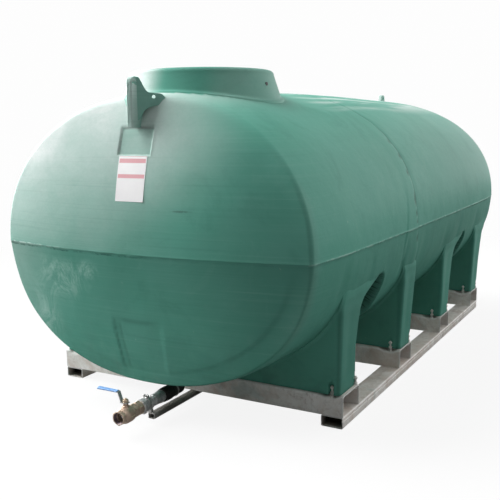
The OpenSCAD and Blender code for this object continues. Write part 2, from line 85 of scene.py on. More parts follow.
def smooth(x, a, b):
    t = np.clip((x - a) / (b - a), 0, 1)
    return t * t * (3 - 2 * t)


@np.errstate(over="ignore")
def lattice(p, seed):
    """Smooth noise in -1..1 from hashed lattice points, for arrays of 3-D points."""
    p = np.asarray(p, float)
    i = np.floor(p).astype(np.int64)
    f = p - i
    f = f * f * (3 - 2 * f)
    out = np.zeros(p.shape[:-1])
    for dx in (0, 1):
        for dy in (0, 1):
            for dz in (0, 1):
                h = (i[..., 0] + dx) * 374761393 + (i[..., 1] + dy) * 668265263 + (i[..., 2] + dz) * 2147483647 + seed * 1274126177
                h = (h ^ (h >> 13)) * 1274126177
                h = (h ^ (h >> 16)) & 0xFFFFFF
                v = h / float(0xFFFFFF) * 2 - 1
                w = (f[..., 0] if dx else 1 - f[..., 0]) * (f[..., 1] if dy else 1 - f[..., 1]) * (f[..., 2] if dz else 1 - f[..., 2])
                out = out + v * w
    return out


def new_mesh(name, verts, faces, mat=None, smooth_on=True, angle=None):
    me = bpy.data.meshes.new(name)
    me.from_pydata([tuple(v) for v in np.asarray(verts) * MM], [], [tuple(int(i) for i in f) for f in faces])
    me.validate()
    bm = bmesh.new()
    bm.from_mesh(me)
    bmesh.ops.recalc_face_normals(bm, faces=bm.faces)
    bm.to_mesh(me)
    bm.free()
    for p in me.polygons:
        p.use_smooth = smooth_on
    ob = bpy.data.objects.new(name, me)
    scene.collection.objects.link(ob)
    if mat:
        me.materials.append(mat)
    if angle is not None and smooth_on:
        sharp_by_angle(me, angle)
    return ob


def sharp_by_angle(me, angle):
    bm = bmesh.new()
    bm.from_mesh(me)
    lim = math.radians(angle)
    for e in bm.edges:
        if len(e.link_faces) == 2:
            e.smooth = e.calc_face_angle(0) < lim
    bm.to_mesh(me)
    bm.free()


def grid_faces(nr, nc, wrap=True, base=0, flip=False):
    out = []
    for j in range(nr - 1):
        for k in range(nc if wrap else nc - 1):
            a, b = base + j * nc + k, base + j * nc + (k + 1) % nc
            c, d = b + nc, a + nc
            out.append((a, b, c, d) if not flip else (a, d, c, b))
    return out


def finish_piece(ob, body, slot, *nodes):
    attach(ob, body)
    if nodes:
        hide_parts(*nodes)
    return ob


def mark_lug_highlight(ob):
    """Painted highlight: the lug's front edge painted pale, its wings less."""
    n = len(ob.data.vertices)
    p = np.empty(n * 3, np.float32)
    ob.data.vertices.foreach_get("co", p)
    x, y, z = p.reshape(-1, 3).T.astype(float)
    at = ob.data.attributes.new("painted_highlight", "FLOAT", "POINT")
    at.data.foreach_set("value", (0.17 + 0.38 * (np.abs(x) < 0.019) * (y < Y0 * MM - 0.415)).astype(np.float32))
    return ob


def mark_painted_highlight(ob):
    """Painted highlight: how pale the moulding is painted, most on the sunny upper corner of the front end, a little
    along the far roof.
    """
    n = len(ob.data.vertices)
    p = np.empty(n * 3, np.float32)
    ob.data.vertices.foreach_get("co", p)
    x, y, z = p.reshape(-1, 3).T.astype(float)
    front = smooth(-y, 0.72, 1.15)
    above = np.interp(z, [0.893, 0.91, 1.0, 1.15, 1.3, 1.45, 1.6, 1.8], [0.0, 0.15, 0.22, 0.31, 0.45, 0.57, 0.78, 0.83])
    edge = np.interp(z, [1.0, 1.15, 1.3, 1.45, 1.6], [-0.02, 0.19, 0.29, 0.33, 0.24])
    k = front * above * (1 - smooth(x, edge - 0.34, edge + 0.34)) * (1 + 0.40 * smooth(-x, 0.3, 0.9) + 0.55 * smooth(-x, 0.45, 0.62) * smooth(z, 1.28, 1.42))
    k += front * (z < 0.9) * 0.21 * smooth(-x, 0.35, 0.95) * smooth(z, 0.25, 0.89)
    # painted highlight along the crease where the front end meets the sides
    k += 0.055 * np.exp(-((y - Y0 * MM + 0.348) / 0.026) ** 2) * smooth(np.abs(x), 0.6, 0.85) * smooth(z, 0.3, 0.6) * (1 - smooth(z, 1.1, 1.35))
    k = np.maximum(k, 0.10 * smooth(y, -0.6, 1.9) * smooth(z, 0.85, 1.25))
    k *= 1 - 0.9 * smooth(y, Y0 * MM - 0.33, Y0 * MM - 0.12) * smooth(-x, 0.42, 0.72)    # none down the left side, which the photo does not show
    plate = (np.abs(x) < 0.095) * (z > 1.377) * (z < 1.508) * (y < -1.6)
    k = np.where(plate, 0.66 * k, k)
    # painted highlight on the neck's left and right
    neck = (np.hypot(x, y - NECK_Y * MM) < 0.445) * (z > 1.62)
    k = np.where(neck, 0.68 * (1 - smooth(x, -0.10, 0.05)) * (1 - smooth(y, NECK_Y * MM - 0.2, NECK_Y * MM + 0.1)) + 0.15 * smooth(x, 0.20, 0.33), k)
    at = ob.data.attributes.new("painted_highlight", "FLOAT", "POINT")
    at.data.foreach_set("value", np.clip(k, 0, 0.86).astype(np.float32))
    return ob


# ---------------------------------------------------------------- the tank's shape
def off(u):
    return 23 * np.maximum(0, 1 - (H - np.abs(u)) / 453) ** 2 + 21 * (u / H) ** 2


def bot(u):
    return TB + DROP * np.maximum(0, (np.abs(u) - SK_LEN / 2) / (H - SK_LEN / 2)) ** 1.5


def section(t, u, g=0.0):
    """Points of the barrel at angle t and distance u from mid-length, moved out by g."""
    c, s = np.cos(t), np.sin(t)
    n = np.where(s >= 0, NT, NB)
    o = off(u) - g
    lean = np.where(s > 0, 60 * np.abs(spow(s, n)) ** 2 * np.maximum(0, 1 - (H - np.abs(u)) / 600), 0)
    return np.stack([(TA - o) * spow(c, n), YM + u - np.sign(u) * lean, ZQ + (np.where(s >= 0, TT, bot(u)) - o) * spow(s, n)], -1)


def endcap(t, q, e, g=0.0):
    c = section(t, np.full_like(np.asarray(t, float), e * H), g)
    yc = YM + e * (H + SAG + g)
    return np.stack([c[..., 0] * q, yc + (c[..., 1] - yc) * q * q, ZQ + (c[..., 2] - ZQ) * q], -1)


def belly_z(x, u, g=0.0):
    r = np.clip(np.abs(x) / (TA - off(u) + g), 0, 1)
    return ZQ - (bot(u) - off(u) + g) * (1 - r ** NB) ** (1 / NB)


def roof_z(x, u, g=0.0):
    r = np.clip(np.abs(x) / (TA - off(u) + g), 0, 1)
    return ZQ + (TT - off(u) + g) * (1 - r ** NT) ** (1 / NT)


def angles():
    """Angles around the tank, even by arc, with close lines at the parting line and the top and bottom middle."""
    t = np.linspace(0, 2 * math.pi, 4001)
    p = section(t, np.zeros_like(t))
    s = np.concatenate([[0], np.cumsum(np.linalg.norm(np.diff(p, axis=0), axis=1))])
    L = s[-1]
    want = []

    def strip(t_mid, half, step):
        s0 = np.interp(t_mid, t, s)
        want.extend((s0 + np.arange(-half, half + step / 2, step)) % L)

    for m in (0.0, math.pi):
        s0 = np.interp(m, t, s)
        want.extend((s0 + np.array([-34, -22, -14, -9, -5, -2.5, 0, 2.5, 5, 9, 14, 22, 34])) % L)
    strip(math.pi / 2, 190, 8.0)
    strip(3 * math.pi / 2, 230, 16.0)
    for lo, hi in ((math.pi, 1.31 * math.pi), (1.69 * math.pi, 2 * math.pi)):
        tt = np.linspace(lo, hi, 600)
        zz = section(tt, np.zeros(600))[:, 2]
        o = np.argsort(zz)
        for z in np.arange(432, 724, 12.0):
            want.append(np.interp(np.interp(z, zz[o], tt[o]), t, s))
    want = np.array(sorted(want))
    out = []
    for a, b in zip(want, np.append(want[1:], want[0] + L)):
        n = max(1, int(round((b - a) / 27.0)))
        out.extend(a + (b - a) * np.arange(n) / n)
    out = np.array(sorted(np.array(out) % L))
    keep = np.concatenate([[True], np.diff(out) > 0.5])
    return np.interp(out[keep], s, t)


T = angles()
NT_ = len(T)


def body_rows():
    """The undisturbed surface, one row of points per station, and each row's (kind, u or q)."""
    rows, tag = [], []
    sn = np.maximum(0, np.sin(T))
    d = 20 + 14 * sn ** 2                        # half width of the rounded crease
    qf = np.concatenate([np.linspace(0.03, 0.30, 7), np.linspace(0.34, 0.56, 9), np.linspace(0.572, 0.785, 42), np.linspace(0.80, 0.90, 9), np.linspace(0.912, 0.955, 5)])
    qr = np.concatenate([np.linspace(0.04, 0.90, 26), [0.925, 0.95]])
    crease = section(T, np.full(NT_, -H))
    rho = np.hypot(crease[:, 0], crease[:, 2] - ZQ)
    ws = np.linspace(0, 1, 9)
    for e, qs in ((-1, qf), (1, qr)):
        part, ptag = [], []
        for q in qs:
            part.append(endcap(T, np.full(NT_, q) * (1 - d / rho) / 0.975, e))
            ptag.append(("end", e * 2.0 - e * q))
        A = section(T, np.full(NT_, 0.0) + e * (H - d))
        C = section(T, np.full(NT_, e * H))
        B = endcap(T, 1 - d / rho, e)
        for w in ws:
            part.append((1 - w) ** 2 * B + 2 * w * (1 - w) * C + w * w * A)
            ptag.append(("crease", e * (1 - 0.02 * w)))
        if e < 0:
            front, ftag = part, ptag
        else:
            rear, rtag = part[::-1], ptag[::-1]
    at = np.concatenate([np.arange(-180, 296, 34.0), np.arange(304, 640, 11.5), np.arange(646, 770, 20.0), np.arange(778, 1140, 9.5), np.arange(1160, 2030, 46.0), np.arange(2050, 2500, 12.5), np.arange(2520, 3040, 42.0)])
    us = np.concatenate([-H + np.array([52, 72, 96, 124, 156]), at - SK_LEN / 2, H - np.array([156, 124, 96, 72, 52])])
    mid = [section(T, np.full(NT_, u)) for u in us]
    rows = front + mid + rear
    tag = ftag + [("mid", u / H) for u in us] + rtag
    return np.array(rows), tag


def normals(P):
    a = np.empty_like(P)
    a[1:-1] = P[2:] - P[:-2]
    a[0] = P[1] - P[0]
    a[-1] = P[-1] - P[-2]
    b = np.roll(P, -1, 1) - np.roll(P, 1, 1)
    n = np.cross(b, a)
    n /= np.maximum(np.linalg.norm(n, axis=-1, keepdims=True), 1e-9)
    c = P - np.array([0, YM, ZQ])
    n *= np.where((n * c).sum(-1, keepdims=True) < 0, -1, 1)
    return n


def box_mask(x, z, x0, x1, z0, z1, w):
    return smooth(x, x0 - w, x0) * (1 - smooth(x, x1, x1 + w)) * smooth(z, z0 - w, z0) * (1 - smooth(z, z1, z1 + w))


def pocket_mask(X, Y, Z, leg):
    """The hollow behind a leg's flared rear edge, wide low down and closing at a point near the parting line."""
    b = BEAM_Y[leg] + (0 if leg == 0 else 12)
    lo = b + np.interp(Z, [415, 500, 583, 646, 691, 708], [240, 250, 262, 318, 400, 488])
    hi = b + np.interp(Z, [400, 415, 500, 591, 655, 703, 710], [700, 722, 632, 582, 561, 522, 500])
    m = smooth(Y, lo - 9, lo + 5) * (1 - smooth(Y, hi - 9, hi + 3)) * (1 - smooth(Z, 696, 712)) * smooth(Z, 395, 425)
    rim = np.exp(-((Y - hi - 10) / 9.0) ** 2) * (1 - smooth(Z, 705, 730)) * smooth(Z, 395, 440)
    return m, rim


def band_mask(X, Y, Z):
    """The raised band above the second leg: 1 on it, sharp at the rear edge, soft in front away from the parting line."""
    zz = [600, 646, 690, 746, 838, 918, 1019, 1090, 1250, 1500, 1700]
    f = Y0 + np.interp(Z, zz, [905, 897, 862, 815, 790, 812, 840, 862, 880, 895, 905])
    r = Y0 + np.interp(Z, zz, [1128, 1118, 1090, 1050, 1018, 1006, 1000, 1002, 1010, 1022, 1015])
    rag = 5.0 * lattice(np.stack([X / 30, Z / 30, Y * 0], -1), 8) + 3.0 * lattice(np.stack([X / 14, Z / 14, Y * 0], -1), 9)
    w = np.interp(Z, [700, 1040, 1150, 1500], [7, 8, 45, 70])
    m = smooth(Y, f - w, f + w) * (1 - smooth(Y, r - 5 + rag, r + 5 + rag))
    groove = np.exp(-((Y - r - 3 - rag * 0.6) / 6.5) ** 2)
    nick = np.maximum(0, lattice(np.stack([X / 26, Z / 26, Y * 0], -1), 18) - 0.10) * np.exp(-((Y - r + 14 - rag) / 15.0) ** 2)
    return m, groove, nick


def displace(P, pockets=True):
    N = normals(P)
    X, Y, Z = P[..., 0], P[..., 1], P[..., 2]
    u = Y - YM
    D = np.zeros(P.shape[:2])
    dark = np.zeros(P.shape[:2])
    # slow waves of the moulding
    D += 2.6 * lattice(P / 520.0, 1) + 1.1 * lattice(P / 230.0, 2) + 0.25 * lattice(P / 60.0, 3)
    # parting line: a small uneven bead, and the lower half turned in below it
    dz = Z - ZQ
    rag = lattice(np.stack([X / 34, Y / 34, Z * 0], -1), 5)
    rag2 = lattice(np.stack([X / 13, Y / 13, Z * 0], -1), 6)
    on_end = smooth(np.abs(u), H - 70, H + 10)
    bead = np.exp(-((dz - 1.0 + 2.2 * rag) / (3.4 + 1.2 * rag2)) ** 2) * (2.4 + 1.6 * rag + 1.2 * rag2)
    D += bead * (0.72 - 0.50 * on_end)
    # painted shadow: a dark line just under the bead, on the ends and along the sides
    dark = np.maximum(dark, on_end * (0.42 - 0.34 * smooth(X, 40, 420)) * np.exp(-((dz + 5.0 + 2.0 * rag) / 3.6) ** 2) * np.clip(0.6 + rag2 * 0.6, 0, 1))
    dark = np.maximum(dark, (1 - on_end) * 0.35 * np.exp(-((dz + 6.5 + 1.5 * rag) / 4.0) ** 2) * np.clip(0.5 + rag * 0.8, 0, 1))
    dn = np.maximum(0, -dz)
    D -= np.where(dz < 0, (1 - np.exp(-dn / 9.0)) * 1.2 + (0.035 + 0.075 * on_end) * dn * np.exp(-dn / 250.0), 0)
    # soft hollows where the belly runs down into the legs
    for b in BEAM_Y:
        for dy, wd, dp in ((-52, 34, 6.0), (118, 46, -3.0), (300, 44, 4.0)):
            D -= dp * np.exp(-((Y - b - dy) / wd) ** 2) * smooth(Z, 600, 700) * (1 - smooth(Z, 790, 880)) * (np.abs(X) > 700)
    # mould joint around the barrel above the second leg
    m, groove, nick = band_mask(X, Y, Z)
    low = smooth(Z, 600, 660)
    D += m * 5.2 * low * np.interp(Z, [700, 1000, 1300, 1700], [1.2, 0.8, 0.35, 0.25])
    D -= groove * 2.6 * low
    D -= nick * 9.0 * smooth(Z, 640, 700) * (1 - smooth(Z, 1350, 1500))
    # painted shade in the joint's groove and in the nicks
    dark = np.maximum(dark, groove * 0.95 * low * (0.55 + 0.45 * lattice(P / 60.0, 19)))
    dark = np.maximum(dark, np.clip(nick * 2.4, 0, 0.60) * smooth(Z, 700, 780) * (1 - smooth(Z, 1350, 1500)))
    D += smooth(Y, Y0 + 1030, Y0 + 1070) * (1 - smooth(Y, Y0 + 1070, Y0 + 2000)) * 2.0 * smooth(Z, 900, 1400)
    # front end: recessed bare plate under the lug and a shallow pad low down
    fe = (u < -H + 60).astype(float)
    D -= fe * 7.0 * box_mask(X, Z, -95, 95, 1377, 1508, 4.5)
    D += fe * 2.2 * np.exp(-((X - 101) / 5.0) ** 2) * smooth(Z, 1370, 1380) * (1 - smooth(Z, 1506, 1514))
    # painted shadow along the top and left edges of the recessed plate
    dark = np.maximum(dark, fe * 0.85 * np.exp(-((Z - 1507) / 3.6) ** 2) * (np.abs(X) < 97))
    dark = np.maximum(dark, fe * 0.55 * np.exp(-((X + 95) / 4.0) ** 2) * smooth(Z, 1380, 1400) * (1 - smooth(Z, 1506, 1510)))
    half = 126 + (Z - 275) * (17 / 275.0)
    pad = smooth(X, -half - 9, -half) * (1 - smooth(X, half, half + 12)) * smooth(Z, 262, 290) * (1 - smooth(Z, 546, 560))
    D -= fe * 2.6 * pad
    groove = np.exp(-((X + half - 34) / 9.0) ** 2) * smooth(Z, 275, 300) * (1 - smooth(Z, 520, 552))
    D -= fe * 1.3 * groove
    # painted shade in the pad's groove and along its left and bottom edges
    dark = np.maximum(dark, fe * 0.20 * groove)
    dark = np.maximum(dark, fe * 0.30 * np.exp(-((X + half + 3) / 6.0) ** 2) * smooth(Z, 275, 300) * (1 - smooth(Z, 540, 556)))
    dark = np.maximum(dark, fe * 0.22 * np.exp(-((Z - 553) / 5.0) ** 2) * (X > -half - 4) * (X < half + 6))
    # faint ledge inside the rim of both ends, low down
    c = np.hypot(X / (TA - 44), np.where(Z > ZQ, (Z - ZQ) / (TT - 44), (Z - ZQ) / (TB - 30)))
    ends = (np.abs(u) > H - 30).astype(float)
    D -= ends * 2.2 * smooth(c, 0.885, 0.915) * (1 - smooth(Z, 700, 880))
    # fillet around the foot of the neck
    rn = np.hypot(X, Y - NECK_Y)
    D += np.where(Z > 1400, 13 * np.exp(-np.maximum(0, rn - 408) / 13.0) * (rn > 300), 0)
    # hollows behind the flared edges of legs one and three, with their raised rims
    for leg in (0, 2) if pockets else ():
        m, rim = pocket_mask(X, Y, Z, leg)
        on = (np.abs(X) > 300) * (Z < ZQ)
        D -= 92 * m * on
        D += 5.0 * rim * on
        # painted shade deep in the hollows
        dark = np.maximum(dark, np.clip(m * 2.4, 0, 1) * on * 0.97)
    return P + N * D[..., None], dark


BASE, TAGS = body_rows()
BODY, BODY_SHADE = displace(BASE)


def skin_table():
    """The right side of the moulded skin as x by station and height, without the hollows, for the legs to blend into."""
    P, _ = displace(BASE, False)
    side = [k for k in range(NT_) if T[k] >= 1.5 * math.pi] + [k for k in range(NT_) if T[k] < 0.5 * math.pi]
    zg = np.arange(300.0, 900.0, 5.0)
    rows = [j for j, t in enumerate(TAGS) if t[0] == "mid"]
    ys = np.array([P[j, side, 1].mean() for j in rows])
    xg = np.array([np.interp(zg, P[j, side, 2], P[j, side, 0]) for j in rows])
    return ys, zg, xg


SKIN = skin_table()


def skin_x(y, z):
    ys, zg, xg = SKIN
    j = np.clip(np.searchsorted(ys, y) - 1, 0, len(ys) - 2)
    f = np.clip((y - ys[j]) / (ys[j + 1] - ys[j]), 0, 1)
    k = np.clip(((z - zg[0]) / 5.0).astype(int), 0, len(zg) - 2)
    g = np.clip((z - zg[k]) / 5.0, 0, 1)
    return (xg[j, k] * (1 - g) + xg[j, k + 1] * g) * (1 - f) + (xg[j + 1, k] * (1 - g) + xg[j + 1, k + 1] * g) * f


def build_body(mat):
    nr = len(BODY)
    verts = list(BODY.reshape(-1, 3))
    faces = grid_faces(nr, NT_)
    fc = len(verts)
    verts.append(BODY[0].mean(0))
    rc = len(verts)
    verts.append(BODY[-1].mean(0))
    for k in range(NT_):
        faces.append((fc, (k + 1) % NT_, k))
        b = (nr - 1) * NT_
        faces.append((rc, b + k, b + (k + 1) % NT_))
    verts = np.clip(np.array(verts), [v / MM + 0.2 for v in cad_lo], [v / MM - 0.2 for v in cad_hi])
    ob = new_mesh("tank_body", verts, faces, mat)
    # painted shade from displace: dark lines under the bead, in grooves, nicks, recess edges and hollows
    at = ob.data.attributes.new("painted_shade", "FLOAT", "POINT")
    vals = np.zeros(len(ob.data.vertices), np.float32)
    flat = BODY_SHADE.reshape(-1)
    vals[:len(flat)] = flat
    # painted shade: the right part of the front end darker
    dull = 0.30 * smooth(verts[:, 0], 240, 760) * (1 - smooth(verts[:, 1], Y0 - 400, Y0 - 330)) * (1 - smooth(verts[:, 2], 1350, 1600))
    vals = np.maximum(vals, dull.astype(np.float32))
    at.data.foreach_set("value", vals)
    return ob


# ---------------------------------------------------------------- neck and lid
def build_neck(mat):
    n = 160
    th = np.linspace(0, 2 * math.pi, n, endpoint=False)
    r0, r1, rim = 417.0, 391.0, 26.0
    z_rim = NECK_TOP - rim
    deltas = [-22, -6, 0, 1.5, 3.5, 6, 9.5, 14, 20]
    foot = 1690.0
    rows = []
    xy = np.stack([np.cos(th), np.sin(th)], -1)
    ground = roof_z(r0 * xy[:, 0], np.clip(NECK_Y + r0 * xy[:, 1] - YM, -H + 1, H))
    R = 16.0
    wob = 1.3 * lattice(np.stack([np.cos(th) * 1.7, np.sin(th) * 1.7, th * 0], -1), 11)
    for dl in deltas:
        z = ground + dl
        f = np.clip(1 - max(dl, 0) / R, 0, 1)
        fl = R * (1 - math.sqrt(max(0, 1 - f * f))) if dl < R else 0
        r = r0 + (r1 - r0) * np.clip((z - foot) / (z_rim - foot), -1, 1) + min(fl, 12) + wob
        rows.append(np.stack([r * xy[:, 0], NECK_Y + r * xy[:, 1], z], -1))
    top_of = ground + deltas[-1]
    for f in (0.2, 0.4, 0.6, 0.8, 1.0):
        z = top_of + (z_rim - top_of) * f
        r = r0 + (r1 - r0) * np.clip((z - foot) / (z_rim - foot), -1, 1) + wob
        rows.append(np.stack([r * xy[:, 0], NECK_Y + r * xy[:, 1], z], -1))
    for a in range(12, 91, 13):
        a = math.radians(a)
        r, z = r1 - rim + rim * math.cos(a) + wob * 0.6, z_rim + rim * math.sin(a)
        rows.append(np.stack([r * xy[:, 0], NECK_Y + r * xy[:, 1], np.full(n, z)], -1))
    for r, z in ((350, NECK_TOP + 0.0), (318, NECK_TOP - 0.2), (300, NECK_TOP - 1.0), (286, NECK_TOP - 3.2), (278, NECK_TOP - 8), (273, NECK_TOP - 14), (267, NECK_TOP - 19), (258, NECK_TOP - 21.6), (244, NECK_TOP - 22), (206, NECK_TOP - 22), (206, NECK_TOP - 34)):
        rows.append(np.stack([r * xy[:, 0], NECK_Y + r * xy[:, 1], np.full(n, z)], -1))
    rows = np.array(rows)
    return new_mesh("neck_shell", rows.reshape(-1, 3), grid_faces(len(rows), n), mat)


def lathe(name, profile, mat, centre=(0, 0, 0), axis="Z", n=96, angle=35, mod=None):
    """Turned piece: profile is (r, a) along the axis, in mm; mod changes the radius by angle."""
    th = np.linspace(0, 2 * math.pi, n, endpoint=False)
    rows = []
    for r, a in profile:
        rr = np.full(n, float(r))
        if mod is not None:
            rr = mod(rr, th, a)
        x, y = rr * np.cos(th), rr * np.sin(th)
        z = np.full(n, float(a))
        if axis == "Z":
            P = np.stack([x, y, z], -1)
        elif axis == "Y":
            P = np.stack([x, z, y], -1)
        else:
            P = np.stack([z, x, y], -1)
        rows.append(P + np.array(centre))
    rows = np.array(rows)
    verts = list(rows.reshape(-1, 3))
    faces = grid_faces(len(rows), n)
    if profile[0][0] < 0.01:
        faces = [f for f in faces]
    return new_mesh(name, verts, faces, mat, angle=angle)


def join(name, objs):
    bpy.ops.object.select_all(action="DESELECT")
    for o in objs:
        o.select_set(True)
    bpy.context.view_layer.objects.active = objs[0]
    bpy.ops.object.join()
    objs[0].name = name
    return objs[0]


def build_lid(mat):
    zt = NECK_TOP - 22
    c = (0, NECK_Y, 0)

    def lugs(r, th, a):
        k = 0.5 + 0.5 * np.tanh(6 * np.cos(24 * th))
        return r - np.where((r > 222) & (a < zt + 25), 5.0 * k, 0)

    prof = [(214, zt + 1), (236, zt + 1), (236, zt + 18), (234.5, zt + 22), (229, zt + 25.6), (220, zt + 26.8), (211, zt + 25.8), (206, zt + 21), (203, zt + 19), (160, zt + 20), (90, zt + 21.5), (60, zt + 22), (0.5, zt + 22)]
    dense = []
    for (r, a), (r2, a2) in zip(prof, prof[1:]):
        k = max(1, int(math.hypot(r2 - r, a2 - a) / 9))
        dense += [(r + (r2 - r) * i / k, a + (a2 - a) * i / k) for i in range(k)]
    dense.append(prof[-1])
    parts = [lathe("lid_disc", dense, mat, c, n=240, mod=lugs, angle=40)]
    for i in range(8):                           # raised ribs across the lid
        a = i * math.pi / 4
        L, w, h = 128.0, 7.0, 6.5
        v, fcs = [], []
        prof2 = [(-w, 0), (-w * 0.7, h * 0.8), (-w * 0.3, h), (w * 0.3, h), (w * 0.7, h * 0.8), (w, 0)]
        st = [(52, 0.2), (58, 0.9), (66, 1.0), (52 + L - 12, 1.0), (52 + L - 4, 0.85), (52 + L, 0.15)]
        for r, s in st:
            for px, pz in prof2:
                zc = zt + 20.5 + (22 - 20.5) * max(0, 1 - r / 90.0) - 1.0
                v.append([math.cos(a) * r - math.sin(a) * px, NECK_Y + math.sin(a) * r + math.cos(a) * px, zc + pz * s])
        m = len(prof2)
        for j in range(len(st) - 1):
            for k in range(m - 1):
                fcs.append((j * m + k, j * m + k + 1, (j + 1) * m + k + 1, (j + 1) * m + k))
        fcs.append(tuple(range(m)))
        fcs.append(tuple(range((len(st) - 1) * m, len(st) * m))[::-1])
        parts.append(new_mesh("lid_rib", v, fcs, mat, angle=50))
    parts.append(lathe("lid_vent", [(0.5, zt + 26.8), (18, zt + 26.8), (23, zt + 26.2), (25, zt + 24.6), (25, zt + 20)], mat, c, n=48))
    return join("lid_detail", parts)


# ---------------------------------------------------------------- legs
LEG = {                                          # by height: outer face, front edge and rear edge (behind the beam's front)
    0: (([172, 604, 645, 688, 708, 760], [893, 909, 912, 925, 935, 946]),
        ([172, 640, 700, 760], [0, 4, 0, -10]),
        ([172, 385, 515, 604, 645, 688, 708, 730], [222, 206, 233, 262, 345, 420, 497, 540])),
    1: (([172, 400, 640, 690, 746], [905, 914, 931, 936, 946]),
        ([172, 400, 640, 690, 746], [21, 30, 17, -15, -70]),
        ([172, 400, 640, 673, 740], [216, 228, 243, 222, 172])),
    2: (([172, 400, 604, 650, 694, 740], [905, 914, 916, 918, 932, 944]),
        ([172, 400, 640, 690, 746], [21, 30, 38, 20, -20]),
        ([172, 400, 520, 600, 650, 690, 710], [216, 225, 262, 300, 385, 490, 545])),
    3: (([172, 400, 640, 690, 746], [905, 914, 926, 934, 946]),
        ([172, 400, 640, 690, 746], [21, 30, 26, 5, -40]),
        ([172, 400, 600, 660, 700], [216, 228, 262, 330, 400])),
}


def leg_curve(i, k, z):
    a, b = LEG[i][k]
    zz = np.arange(150, 800, 5.0)
    v = np.interp(zz, a, b)
    v = np.convolve(np.pad(v, 5, mode="edge"), np.ones(11) / 11, mode="valid")
    return np.interp(z, zz, v)


